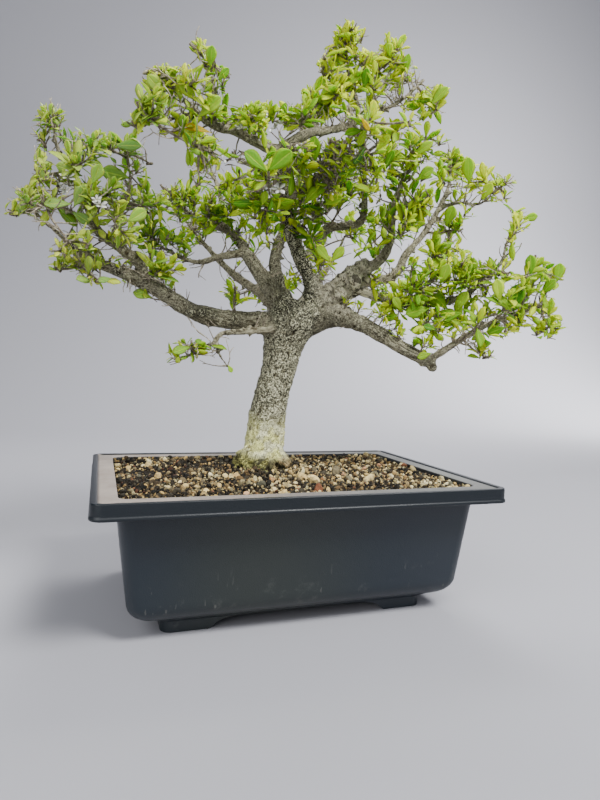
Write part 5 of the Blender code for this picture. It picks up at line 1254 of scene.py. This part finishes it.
def lumps(draw):
    """Burls and knots: balls at fixed places, along four branches, round the trunk's foot, and where
    the table of root knobs puts them from there."""
    rows = [np.array(KNOTS, float)]
    for name, (count, sizes) in BURLS.items():
        path = PATHS[name]
        low = int(TRUNK_BURLS_FROM * len(path)) if name == "trunk" else 0
        here = path[draw.integers(low, len(path), count)]
        way = unit(draw.normal(size=(count, 3)))
        rows.append(np.column_stack([here[:, :3] + way * here[:, 3:] * 0.86, draw.uniform(*sizes, count)]))
    angle = draw.uniform(0, TAU, FOOT_BURLS)
    out = draw.uniform(*FOOT_BURL_OUT, FOOT_BURLS)
    z = 148 - 0.8 * out + draw.uniform(-6, 4, FOOT_BURLS)
    rows.append(np.column_stack([*round_trunk(angle, out), z, draw.uniform(*FOOT_BURL_RADII, FOOT_BURLS)]))
    near = np.array(ROOT_KNOBS, float)
    x, y = TRUNK_FOOT[0] + near[:, 0], TRUNK_FOOT[1] + near[:, 1]
    rows.append(np.column_stack([x, y, soil_height(x, y) + near[:, 2], near[:, 3]]))
    return np.vstack(rows)


def wood_shapes(draw):
    """The wood before it is one skin: a tube for every branch, spur and root and a ball for every lump.
    With it, stations along all of them, each with its direction and its share of pale flecks."""
    heap = Heap()
    rows = []
    for name in BRANCHES:
        path = PATHS[name].copy()
        wander = 0.12 * noise(path[:, :3], 9.0, 11) + 0.07 * noise(path[:, :3], 4.0, 12)
        path[:, 3] *= 1 + np.minimum(1, 6 / path[:, 3]) * wander
        sides = BRANCH_SIDES[0] if path[:, 3].max() > THICK_RADIUS else BRANCH_SIDES[1]
        heap.add(*tube(path[:, :3], path[:, 3], sides))
        cover = FLECKED.get(name, FEW_FLECKS) * np.clip((path[:, 3] - 3) / 5, 0, 1)
        rows.append((path, unit(np.gradient(path[:, :3], axis=0)), cover))
        if name != "trunk":
            for stub, radii in spurs(path, draw, len(path) // 4):
                heap.add(*tube(stub, radii, 8))
    for k in range(ROOTS):
        angle = TAU * k / ROOTS + draw.uniform(-0.2, 0.2)
        path, radii = root_path(
            angle, draw.uniform(*ROOT_REACH), draw.uniform(*ROOT_START_Z), draw.uniform(*ROOT_RADII), draw)
        heap.add(*tube(path, radii, 10))
        rows.append((np.column_stack([path, radii]), unit(np.gradient(path, axis=0)), np.ones(len(path))))
    ball, faces = icosphere(2)
    knots = lumps(draw)
    for x, y, z, r in knots:
        heap.add(ball * r + (x, y, z), faces)
    upright = np.tile((0.2, 0.1, 1.0), (len(knots), 1))
    rows.append((knots, upright, np.where(knots[:, 0] < 60, 0.8, 0.5)))
    return heap, *(np.concatenate(part) for part in zip(*rows))


def build_wood(paint):
    """Trunk, roots and branches as one skin. Its relief is ragged noise stretched along the wood, with
    cracks between plates, as deep as the wood is thick and deeper on the knob and at the foot. Each
    point carries its share of flecks, its height in the relief and its nearness to the knob."""
    heap, stations, directions, cover = wood_shapes(draws(2))
    points, triangles = remeshed(heap, VOXEL)
    points = relaxed(points, triangles, 2)
    nearest = nearest_station(points, stations)
    radius = stations[nearest, 3]
    lengthwise = unit(directions[nearest])
    along = np.sum(points * lengthwise, axis=1, keepdims=True) * lengthwise
    stretch = 0.66 - 0.50 * np.clip((radius - 6) / 12, 0, 1)[:, None]
    stretched = points - stretch * along
    burl = np.clip(1.6 - np.linalg.norm(points - KNOB_MIDDLE, axis=1) / 30, 0, 1)
    flecked = relaxed(np.repeat(cover[nearest][:, None], 3, axis=1), triangles, 12)[:, 0]
    relief = 0.8 * ragged(stretched, 3.0, 2, 21) + 0.35 * np.minimum(plates(stretched, 4.2, 31), 0.5) - 0.1
    foot = np.clip((150 - points[:, 2]) / 12, 0, 1)
    depth = np.clip(radius * 0.085, 0.15, 1.7) * (1 + 1.9 * burl) + 1.0 * foot
    swell = (np.clip(0.06 * radius, 0.1, 1.6) * noise(points, 22.0, 41)
             + 2.2 * np.maximum(burl, foot) * noise(points, 7.0, 42))
    points = points + point_normals(points, triangles) * (depth * relief + swell)[:, None]
    wood = Heap()
    wood.add(points, triangles, np.column_stack([flecked, np.clip(0.5 + 0.5 * relief, 0, 1), burl]))
    piece = make_piece("tree_bark", wood, [paint], ["tree_wood"])
    carry(piece.data, "grain", stretched * MM)
    return piece


def blade_grid(rows, columns, teeth):
    """A blade's grid: for each point the share across and along, the half width and the side, and the
    triangles. The upper and the lower face share the outline's points, so the blade is closed."""
    along = np.array(rows)
    width = np.sin(math.pi * np.minimum(along, 0.999) ** 1.65) ** 0.7
    width = np.maximum(width, 0.07 + 0.06 * (along > 0.97))
    width = width * (1 + np.array(teeth))
    u, v = np.meshgrid(np.linspace(-1, 1, columns), along)
    half = np.repeat(width[:, None], columns, axis=1)
    edge = (np.abs(u) == 1) | (v == along[0]) | (v == along[-1])
    u, v, half, edge = (part.ravel() for part in (u, v, half, edge))
    inner = ~edge
    upper = grid_triangles(len(along), columns, False)
    lower = np.where(edge, np.arange(len(u)), len(u) + np.cumsum(inner) - 1)[upper][:, ::-1]
    sheet = np.where(edge, 0.0, 1.0)
    values = [np.concatenate([part, part[inner]]) for part in (u, v, half)]
    return *values, np.concatenate([sheet, -sheet[inner]]), np.concatenate([upper, lower])


SMALL_BLADE = blade_grid([0, 0.26, 0.52, 0.74, 0.91, 1.0], 3, [0, 0, 0, 0.04, 0, 0])
LARGE_BLADE = blade_grid([0, 0.1, 0.24, 0.4, 0.55, 0.68, 0.78, 0.86, 0.93, 0.97, 1.0], 5,
                         [0, 0, 0, 0, 0, 0.0, 0.03, 0.0, 0.06, 0.0, 0])
# Room for the leaves: the model's own box, in the pot's frame
LEAF_ROOM = np.array([list(corner) for corner in CAD_BOX]) / MM - POT_CENTRE


def blades(template, roots, along, face, length, width, fold, curl, tone):
    """Leaves: across is u times the half width at v, along is v times the length, drawn in as the
    blade curls down by curl times v squared, and both halves rise from the rib by the fold. Each point
    carries u, v and the leaf's tone."""
    u, v, half, side, faces = template
    along = unit(along)
    across = unit(np.cross(along, face))
    face = np.cross(across, along)
    x = u * half * width[:, None]
    y = length[:, None] * v * (1 - 0.3 * (curl[:, None] * v) ** 2)
    z = fold[:, None] * np.abs(x) - curl[:, None] * length[:, None] * v ** 2 + side * HALF_THICKNESS
    points = (roots[:, None] + across[:, None] * x[..., None] + along[:, None] * y[..., None]
              + face[:, None] * z[..., None])
    look = np.stack(np.broadcast_arrays(u, v, tone[:, None]), -1)
    return points.reshape(-1, 3), copies(faces, len(roots), len(u)), look.reshape(-1, 3)


def seen_at(points):
    """Where the photograph's camera sees points: right and down from the frame's middle by the focal
    length times the distance to the right and down over the depth."""
    right, up, forward = camera_axes()
    away = points - EYE
    depth = away @ forward
    return np.column_stack([PHOTO_MIDDLE[0] + FOCAL * (away @ right) / depth,
                            PHOTO_MIDDLE[1] - FOCAL * (away @ up) / depth])


def inside_edge(spots):
    """Whether spots lie in the crown's outline: a line to their right crosses it an odd number of times."""
    corners = np.array(CROWN_EDGE, float)
    beyond = np.roll(corners, -1, axis=0)
    run, rise = (beyond - corners).T
    y = spots[:, 1, None]
    spans = (corners[:, 1] > y) != (beyond[:, 1] > y)
    crossing = corners[:, 0] + (y - corners[:, 1]) * run / np.where(rise == 0, 1e-9, rise)
    return ((spots[:, :1] < crossing) & spans).sum(axis=1) % 2 == 1


def has_room(points):
    """Points inside the model's box, inside the crown's outline, outside its openings, each an ellipse,
    and off the stretches of wood that show: the nearest point of a stretch is farther than its half
    width."""
    spots = seen_at(points)
    stretches = np.array(SHOWN_WOOD, float)
    run = stretches[:, 2:4] - stretches[:, :2]
    off = spots[:, None] - stretches[None, :, :2]
    t = np.clip((off * run).sum(axis=-1) / (run ** 2).sum(axis=-1), 0, 1)
    off_wood = np.linalg.norm(off - t[..., None] * run, axis=-1) > stretches[:, 4]
    openings = np.array(OPENINGS, float)
    share = (spots[:, None] - openings[None, :, :2]) / openings[None, :, 2:]
    closed = (share ** 2).sum(axis=-1) > 1
    in_box = np.all((points > LEAF_ROOM[0] + 2) & (points < LEAF_ROOM[1] - 2), axis=1)
    return in_box & inside_edge(spots) & np.all(closed, axis=1) & np.all(off_wood, axis=1)


def fits(tip):
    """Whether one point has room for a leaf."""
    return has_room(tip[None])[0]


def rosettes(heap, rows, draw, brighter=0.0, tones=None):
    """Leaves round the ends of shoots, whose rows are tip, axis, size and count: each leaf a golden
    angle on from the last, the first ones nearly along the shoot and the last ones wide open, further
    back and larger. A leaf without room is left out. The tone comes from the place unless it's given."""
    table = np.array(rows)
    tips, axes, sizes, counts = table[:, :3], table[:, 3:6], table[:, 6], table[:, 7].astype(int)
    tones = tuft_tone(tips) + brighter if tones is None else np.array(tones)
    owner = np.repeat(np.arange(len(tips)), counts)
    order = np.arange(len(owner)) - np.repeat(np.cumsum(counts) - counts, counts)
    share = order / np.maximum(counts[owner] - 1, 1)
    axis = unit(axes)[owner]
    level = np.array((0.0, 0.0, 1.0))
    side = np.cross(axis, level)
    side = unit(np.where(np.linalg.norm(side, axis=1, keepdims=True) < 0.05, (1.0, 0.0, 0.0), side))
    over = np.cross(side, axis)
    turned = draw.uniform(0, TAU, len(tips))[owner]
    angle = GOLDEN_ANGLE * order + turned + draw.uniform(-0.4, 0.4, len(owner))
    opening = np.radians(18 + 62 * share + draw.uniform(-12, 14, len(owner)))
    radial = over * np.cos(angle)[:, None] + side * np.sin(angle)[:, None]
    along = unit(axis * np.cos(opening)[:, None] + radial * np.sin(opening)[:, None] + level * 0.18)
    face = axis * 0.75 - radial * 0.35 + level * 0.55
    length = sizes[owner] * (0.6 + 0.45 * share) * draw.uniform(0.7, 1.2, len(owner))
    width = length * draw.uniform(*SMALL_HALF_WIDTHS, len(owner))
    roots = tips[owner] - axis * (sizes[owner] * 0.42 * share)[:, None]
    fold = draw.uniform(0.15, 0.5, len(owner))
    curl = draw.uniform(-0.05, 0.28, len(owner)) + 0.1 * share
    tone = np.clip(tones[owner] + 0.2 * (0.5 - share) + draw.uniform(-0.22, 0.22, len(owner)), 0, 0.86)
    kept = has_room(roots + along * length[:, None]) & has_room(roots + along * 0.5 * length[:, None])
    values = (roots, along, face, length, width, fold, curl, tone)
    heap.add(*blades(SMALL_BLADE, *(value[kept] for value in values)))


def bowed(start, end, draw, bend, count):
    """A path that bows sideways by a share of its length, with a small wave on it."""
    t = np.linspace(0, 1, count)[:, None]
    length = np.linalg.norm(end - start)
    side = draw.uniform((-1, -1, -0.8), (1, 1, 0.4)) * length * bend
    wave = draw.uniform(-1, 1, 3) * length * 0.03 * np.sin(TAU * t)
    return start + (end - start) * t + side * 4 * t * (1 - t) + wave


def carried_from(path, target):
    """Where a twig leaves its branch: back from the nearest point, so that it leans forward."""
    away = np.linalg.norm(path[:, :3] - target, axis=1)
    near = int(np.argmin(away))
    step = np.linalg.norm(path[1, :3] - path[0, :3])
    back = int(0.45 * away[near] / max(step, 0.5))
    return path[max(near - back, int(0.2 * len(path))), :3]


PATHS = {name: smooth_path(rows, PATH_STEP) for name, rows in BRANCHES.items()}


def tuft_tone(place):
    """Brighter, yellower leaves outside and on top, darker and bluer ones inside and below: partly the
    leaves' own tones, partly painted light on top and painted shade inside.
    """
    outward = np.linalg.norm((place - CROWN_MIDDLE) / CROWN_REACH, axis=-1)
    high = np.clip((place[..., 2] - 430) / 150, 0, 1)
    return np.clip(0.36 + 0.17 * outward + 0.10 * high + 0.18 * noise(place, 40.0, 51), 0.10, 0.74)


def tuft_scale(place):
    """Leaves are smaller towards the left."""
    return 0.86 - 0.12 * np.clip(-place[0] / 200, 0, 1)


def knobby(start, end, radius, draw):
    """A thick short spur under a rosette: a tube whose radius wanders."""
    path = np.linspace(start, end, 5)
    return tube(path, radius * draw.uniform(0.75, 1.25, 5), 6)


def build_spray(name, branch, tufts, paints, draw):
    """One spray: a main twig, a fork to each further tuft, and small side shoots round every tuft, all
    with rosettes of leaves at their ends. Returns the points that its twigs run through."""
    heap = Heap()
    rows = []
    tufts = np.array(tufts, float) - (0, 0, TUFT_DROP)
    scale = tuft_scale(tufts[0])
    start = carried_from(PATHS[branch], tufts[0])
    main = heap.twig(bowed(start, tufts[0], draw, 0.08, 9), (1.8, 1.0), 6, 0.15)
    twigs = [main]
    for order, tuft in enumerate(tufts[1:]):
        if fits(tuft):
            fork = main[3 + 2 * order]
            twigs.append(heap.twig(bowed(fork, tuft, draw, 0.08, 7), (1.3, 0.8), 6, 0.2))
    for path in twigs:
        axis = unit(unit(path[-1] - path[-3]) + (0, 0, 0.6))
        tip = path[-1] + axis * 3
        heap.add(*knobby(path[-1] - axis * 4, tip, 1.35, draw), 0.0, 1)
        rows.append((*tip, *axis, draw.uniform(25, 34) * scale, draw.integers(6, 10)))
        for _ in range(5):
            seat = path[-1 - draw.integers(0, 5)]
            way = unit(unit(draw.normal(size=3)) + 0.55 * axis + (0, 0, 0.3))
            tip = seat + way * draw.uniform(6, 19)
            if fits(tip):
                heap.twig(bowed(seat, tip, draw, 0.08, 4), (0.85, 0.6), 4, draw.uniform(0, 0.6))
                rows.append((*tip, *way, draw.uniform(17, 29) * scale, draw.integers(4, 7)))
    rosettes(heap, rows, draw)
    make_piece(f"leaves_{name}", heap, paints, [f"spray_{name}"])
    return np.vstack(twigs)


def build_sprays(paints):
    """Every leafy spray, in the table's order, each standing for the node of its name. Returns the
    points that all their twigs run through."""
    draw = draws(3)
    numbers = {}
    seats = []
    for branch, tufts in SPRAYS:
        numbers[branch] = numbers.get(branch, 0) + 1
        seats.append(build_spray(f"{branch}_{numbers[branch]}", branch, tufts, paints, draw))
    return np.vstack(seats)


def build_shoots(paints):
    """Short shoots straight from the branches, with small rosettes at their ends."""
    draw = draws(4)
    heap = Heap()
    rows = []
    for name, path in PATHS.items():
        if name in NO_SHOOTS:
            continue
        for share in np.arange(0.25, 0.98, 8.0 / (PATH_STEP * len(path))):
            here = path[int(share * (len(path) - 1))]
            if here[3] > 8.5 or draw.uniform() < 0.3:
                continue
            along = unit(path[min(int(share * len(path)) + 1, len(path) - 1), :3] - path[0, :3])
            way = unit(unit(draw.normal(size=3)) + 0.4 * along + (0, 0, 0.5))
            tip = here[:3] + way * (here[3] + draw.uniform(5, 22))
            if fits(tip):
                heap.twig(bowed(here[:3], tip, draw, 0.1, 5), (1.0, 0.6), 5, 0.2)
                rows.append((*tip, *way, draw.uniform(10, 20), draw.integers(3, 7)))
    rosettes(heap, rows, draw, -0.04)
    return make_piece("branch_shoots", heap, paints)


def build_bare_twigs(paint, seats):
    """Fine dry twigs, many of them forked, from the branches and the sprays."""
    draw = draws(7)
    heap = Heap()
    thin = np.vstack([
        path[int(0.15 * len(path)):, :3] for name, path in PATHS.items() if name not in NO_SHOOTS])
    starts = np.vstack([
        thin[draw.integers(0, len(thin), TWIGS_ON_WOOD)],
        seats[draw.integers(0, len(seats), TWIGS_ON_SPRAYS)]])
    for start in starts:
        way = unit(unit(draw.normal(size=3)) + 0.35 * unit(start - TWIGS_FROM) + (0, 0, 0.3))
        tip = start + way * draw.uniform(9, 30)
        if not fits(tip):
            continue
        path = bowed(start, tip, draw, 0.14, 5)
        dry = draw.uniform(0.3, 1.0)
        heap.twig(path, (0.75, 0.4), 3, dry, 0)
        if draw.uniform() < FORKED_SHARE:
            fork = path[draw.integers(1, 4)]
            side = unit(way + 0.9 * unit(draw.normal(size=3)))
            end = fork + side * draw.uniform(5, 14)
            heap.twig(bowed(fork, end, draw, 0.1, 4), (0.6, 0.35), 3, dry, 0)
    return make_piece("bare_twigs", heap, [paint])


def rolled(forward, roll):
    """Right and up for a view along a direction: first level, then turned by a roll."""
    level = unit(np.cross(forward, (0, 0, 1)))
    right = level * math.cos(roll) + np.cross(level, forward) * math.sin(roll)
    return right, np.cross(right, forward)


def camera_axes():
    """The photograph's view: turned right, tipped down and rolled. Right, up and forward."""
    yaw, pitch, roll = (math.radians(angle) for angle in CAMERA_ANGLES)
    forward = np.array((math.sin(yaw) * math.cos(pitch), math.cos(yaw) * math.cos(pitch), -math.sin(pitch)))
    return *rolled(forward, roll), forward


def sight_line(pixel):
    """The direction in which the camera sees a pixel."""
    right, up, forward = camera_axes()
    return unit(FOCAL * forward + (pixel[0] - PHOTO_MIDDLE[0]) * right + (PHOTO_MIDDLE[1] - pixel[1]) * up)


def seat_on(pixel, carriers, nearer):
    """The carrier's point that lies nearest to a pixel's line of sight, with a small preference for
    nearer ones, the point of that line level with it, moved nearer by some millimetres, and its depth."""
    sight = sight_line(pixel)
    depth = (carriers - EYE) @ sight
    aside = np.linalg.norm(carriers - EYE - depth[:, None] * sight, axis=1)
    best = int(np.argmin(aside + DEPTH_WEIGHT * depth))
    return carriers[best], EYE + sight * (depth[best] - nearer), depth[best]


def build_large_leaves(paints, carriers):
    """Broad single leaves. Each base lies on the photograph's line of sight, level with the nearest twig
    or branch, and a stalk joins the two. The blade turns its face to the light and the viewer."""
    draw = draws(8)
    heap = Heap()
    for *ends, tone in LARGE_LEAVES:
        orange = tone > 0.95
        nearer = ORANGE_NEARER if orange else LARGE_NEARER
        carrier, base, depth = seat_on(ends[:2], carriers, nearer)
        tip = EYE + sight_line(ends[2:]) * (depth - nearer - draw.uniform(2, 8))
        length = np.linalg.norm(tip - base)
        breadth = draw.uniform(*LARGE_HALF_WIDTHS) * (0.6 if orange else 1)
        tone = tone if orange else 0.07 + 0.66 * tone
        face = -sight_line(ends[:2]) + np.array((0.0, 0.0, 0.5)) + 0.3 * unit(draw.normal(size=3))
        shape = (length * 1.04, length * breadth, draw.uniform(0.1, 0.3), draw.uniform(0.02, 0.14), tone)
        heap.add(*blades(LARGE_BLADE, base[None], (tip - base)[None], face[None], *np.array(shape)[:, None]))
        heap.twig(bowed(carrier, base, draw, 0.08, 5), (0.9, 0.5), 5, 0.3)
    return make_piece("large_leaves", heap, paints)


def build_rosettes(paints, carriers):
    """The photograph's other rosettes, each on a stalk of its own from the nearest twig or branch."""
    draw = draws(9)
    heap = Heap()
    rows = []
    for x, y, size in ROSETTES:
        carrier, tip, _ = seat_on((x, y + 0.3 * size), carriers, draw.uniform(0, 8))
        if not fits(tip):
            continue
        axis = unit(unit(draw.normal(size=3)) * 0.5 + unit(tip - carrier) * 0.5 + (0, -0.25, 1.0))
        heap.twig(bowed(carrier, tip, draw, 0.1, 6), (1.3, 0.8), 5, 0.15)
        heap.add(*knobby(tip - axis * 5, tip, 1.3, draw), 0.0, 1)
        for spread, share in ((0.0, 1.45), (7.0, 1.1), (9.0, 0.85)):
            end = tip + spread * unit(draw.normal(size=3))
            way = axis + 0.6 * unit(draw.normal(size=3)) * (spread > 0)
            count = draw.integers(2, 4) if spread else draw.integers(4, 7)
            rows.append((*end, *way, size * share, count))
            if spread:
                heap.twig(bowed(tip - axis * 4, end, draw, 0.08, 4), (0.8, 0.6), 4, 0.2)
    rosettes(heap, rows, draw, 0.05)
    return make_piece("leafy_shoots", heap, paints)


def build_dense(paints, carriers):
    """Small shoots where the crown is densest, some of them with dry brown leaves: each stands at a
    random place of its ellipse, on a stalk from the nearest twig or branch. A dry leaf has the twigs'
    material and carries its tone as its dryness."""
    draw = draws(11)
    green, dry = Heap(), Heap()
    green_rows, dry_rows, dry_tones = [], [], []
    for x, y, half_x, half_y, count, share in DENSE:
        for _ in range(count):
            reach, turn = draw.uniform() ** 0.5, draw.uniform(0, TAU)
            pixel = (x + half_x * reach * math.cos(turn), y + half_y * reach * math.sin(turn))
            carrier, tip, _ = seat_on(pixel, carriers, draw.uniform(-8, 8))
            if not fits(tip) or np.linalg.norm(tip - carrier) > LONGEST_STALK:
                continue
            withered = draw.uniform() < share
            heap = dry if withered else green
            heap.twig(bowed(carrier, tip, draw, 0.1, 5), (1.0, 0.6), 4, 0.4)
            axis = unit(draw.normal(size=3) + 0.7 * unit(tip - carrier) + (0, -0.2, 0.4))
            size = draw.uniform(6, 12) if withered else draw.uniform(12, 19)
            rows = dry_rows if withered else green_rows
            rows.append((*tip, *axis, size, draw.integers(3, 6)))
            if withered:
                dry_tones.append(0.85 if y < 120 else 0.12)
    # painted light: the inner leaves are 0.14 brighter in tone, lifting them out of the crown's shade
    rosettes(green, green_rows, draw, 0.14)
    rosettes(dry, dry_rows, draw, tones=dry_tones)
    make_piece("inner_leaves", green, paints)
    dry.slots[-1][:] = 1
    dry.looks[-1] = dry.looks[-1][:, 2:] * (1.0, 0.0, 0.0)
    return make_piece("dry_leaves", dry, paints)


def star(heap, centre, out, size, draw):
    """Five petals, each a small blade, open round an end: even angles plus a small random turn."""
    side = unit(np.cross(out, (0, 0, 1)))
    other = np.cross(out, side)
    angles = np.arange(5) * TAU / 5 + draw.uniform(-0.2, 0.2, 5)
    radial = side * np.cos(angles)[:, None] + other * np.sin(angles)[:, None]
    along = radial * 0.9 + out * draw.uniform(0.2, 0.7, (5, 1))
    shape = np.array((size, 0.26 * size, 0.2, 0.1, 0.0))
    points, triangles, look = blades(
        SMALL_BLADE, np.tile(centre, (5, 1)), along, np.tile(out, (5, 1)), *np.tile(shape[:, None], 5))
    heap.add(points, triangles, look[:, [1, 0, 2]])


def build_flowers(paint, twig):
    """White stars of five petals on short stalks, each standing for the node of its number."""
    draw = draws(5)
    for number, place in enumerate(FLOWERS, start=1):
        heap = Heap()
        centre = np.array(place, float)
        out = unit(draw.normal(size=3) * 0.4 + (0, -1.4, 0.8))
        star(heap, centre, out, BLOSSOM_SIZE, draw)
        heap.twig(bowed(centre - out * 9, centre, draw, 0.05, 4), (0.6, 0.8), 6)
        make_piece(f"blossom_{number}", heap, [paint, twig], [f"flower_{number}"])


def build_buds(paints, carriers):
    """White buds and half-open stars, each on a stalk from the twig that its sight line passes."""
    draw = draws(10)
    heap = Heap()
    ball, faces = icosphere(1)
    for x, y, radius in BUDS:
        carrier, tip, _ = seat_on((x, y), carriers, 4)
        heap.add(ball * (radius * np.array((0.9, 0.9, 1.25))) + tip, faces, (1.0, 0.0, 0.0))
        heap.twig(bowed(carrier, tip, draw, 0.1, 4), (0.6, 0.5), 5)
    for pixel in STARS:
        carrier, tip, _ = seat_on(pixel, carriers, 8)
        out = unit(draw.normal(size=3) * 0.5 + (0, -1.2, 0.6))
        star(heap, tip, out, STAR_SIZE, draw)
        heap.twig(bowed(carrier, tip, draw, 0.1, 4), (0.6, 0.5), 5)
    return make_piece("flower_buds", heap, paints)


def build_moss(paint):
    """Moss: small upright cones on the flare and on the soil round it, only where a noise is high. Each
    has five points round its base, one on top and one under it."""
    draw = draws(6)
    angle = draw.uniform(0, TAU, MOSS_COUNT)
    out = 17 + 20 * draw.beta(1.4, 2.2, MOSS_COUNT)
    x, y = round_trunk(angle, out)
    clumped = noise(np.column_stack([x, y, np.zeros(MOSS_COUNT)]), 13.0, 61) > -0.05
    x, y, out = x[clumped], y[clumped], out[clumped]
    count = len(x)
    z = soil_height(x, y) + np.clip((31 - out) * 0.55, 0, 6) - 0.5
    around = np.arange(5) * TAU / 5
    radius = draw.uniform(0.6, 1.4, count)[:, None]
    base = np.stack([x[:, None] + radius * np.cos(around), y[:, None] + radius * np.sin(around),
                     np.repeat(z[:, None] - 1.0, 5, 1)], -1)
    top = np.column_stack([x, y, z]) + draw.normal(size=(count, 3)) * 0.6 + (0, 0, 1.6)
    points = np.concatenate([base, top[:, None], np.column_stack([x, y, z - 1.2])[:, None]], axis=1)
    k = np.arange(5)
    after = (k + 1) % 5
    faces = np.concatenate([
        np.stack([k, after, np.full(5, 5)], -1), np.stack([after, k, np.full(5, 6)], -1)])
    heap = Heap()
    tone = np.repeat(draw.uniform(0, 1, count), 7)
    heap.add(points.reshape(-1, 3), copies(faces, count, 7), tone[:, None])
    return make_piece("foot_moss", heap, [paint])


def build_stage():
    """A pale floor that curves up behind into a backdrop, and soft lights."""
    share = np.linspace(0, 1, FLOOR_ROWS)
    t = np.clip((share - FLAT_SHARE) / (1 - FLAT_SHARE), 0, 1) * math.pi / 2
    flat = FLOOR_START + (BEND_START - FLOOR_START) * share / FLAT_SHARE
    y = np.where(share < FLAT_SHARE, flat, BEND_START + BEND * np.sin(t))
    z = np.where(share < FLAT_SHARE, 0.0, BEND * (1 - np.cos(t)))
    y = np.append(y, BEND_START + BEND)
    z = np.append(z, BACKDROP_TOP)
    points = np.array([(side, a, b) for a, b in zip(y, z) for side in (-FLOOR_SIDE, FLOOR_SIDE)])
    mesh = new_mesh("floor", points / MM - POT_CENTRE, grid_triangles(len(y), 2, False))
    mesh.polygons.foreach_set("use_smooth", np.full(len(mesh.polygons), True))
    floor = link("floor", mesh)
    paint = Paint("pale_floor", {"Roughness": 0.9, "Base Color": FLOOR_COLOUR})
    mesh.materials.append(paint.material)
    for name, place, target, size, power in LIGHTS:
        lamp = bpy.data.lights.new(name, "AREA")
        lamp.size = size
        lamp.energy = power
        link(name, lamp).matrix_world = looking(place, unit(np.array(target) - np.array(place)), 0.0)
    world = bpy.data.worlds.new("studio")
    world.use_nodes = True
    background = world.node_tree.nodes["Background"]
    background.inputs["Color"].default_value = WORLD_COLOUR
    background.inputs["Strength"].default_value = WORLD_STRENGTH
    bpy.context.scene.world = world


def looking(place, forward, roll):
    """The frame of a camera or lamp at a place, looking along a direction, turned by a roll."""
    right, up = rolled(forward, roll)
    turn = Matrix(np.column_stack([right, up, -forward]).tolist()).to_4x4()
    turn.translation = tuple(place)
    return turn


def build_camera():
    """The photograph's camera."""
    forward = camera_axes()[2]
    view = bpy.data.cameras.new("camera")
    view.lens = LENS
    view.sensor_width = FILM
    camera = link("camera", view)
    camera.matrix_world = looking((EYE + POT_CENTRE) * MM, forward, math.radians(CAMERA_ANGLES[2]))
    bpy.context.scene.camera = camera


def main():
    """Everything, from the stage to the last leaf."""
    build_camera()
    build_stage()
    build_pot(pot_paint())
    build_soil(soil_paint())
    build_gravel(gravel_paint())
    build_wood(bark_paint())
    leaf, twig = leaf_paint(), twig_paint()
    seats = build_sprays([leaf, twig])
    build_shoots([leaf, twig])
    build_bare_twigs(twig, seats)
    boughs = [path[len(path) // 4:, :3] for name, path in PATHS.items() if name != "trunk"]
    carriers = np.vstack([seats] + boughs)
    build_large_leaves([leaf, twig], carriers)
    build_rosettes([leaf, twig], carriers)
    build_dense([leaf, twig], carriers)
    petal = petal_paint()
    build_flowers(petal, twig)
    build_buds([petal, twig], carriers)
    build_moss(moss_paint())


main()
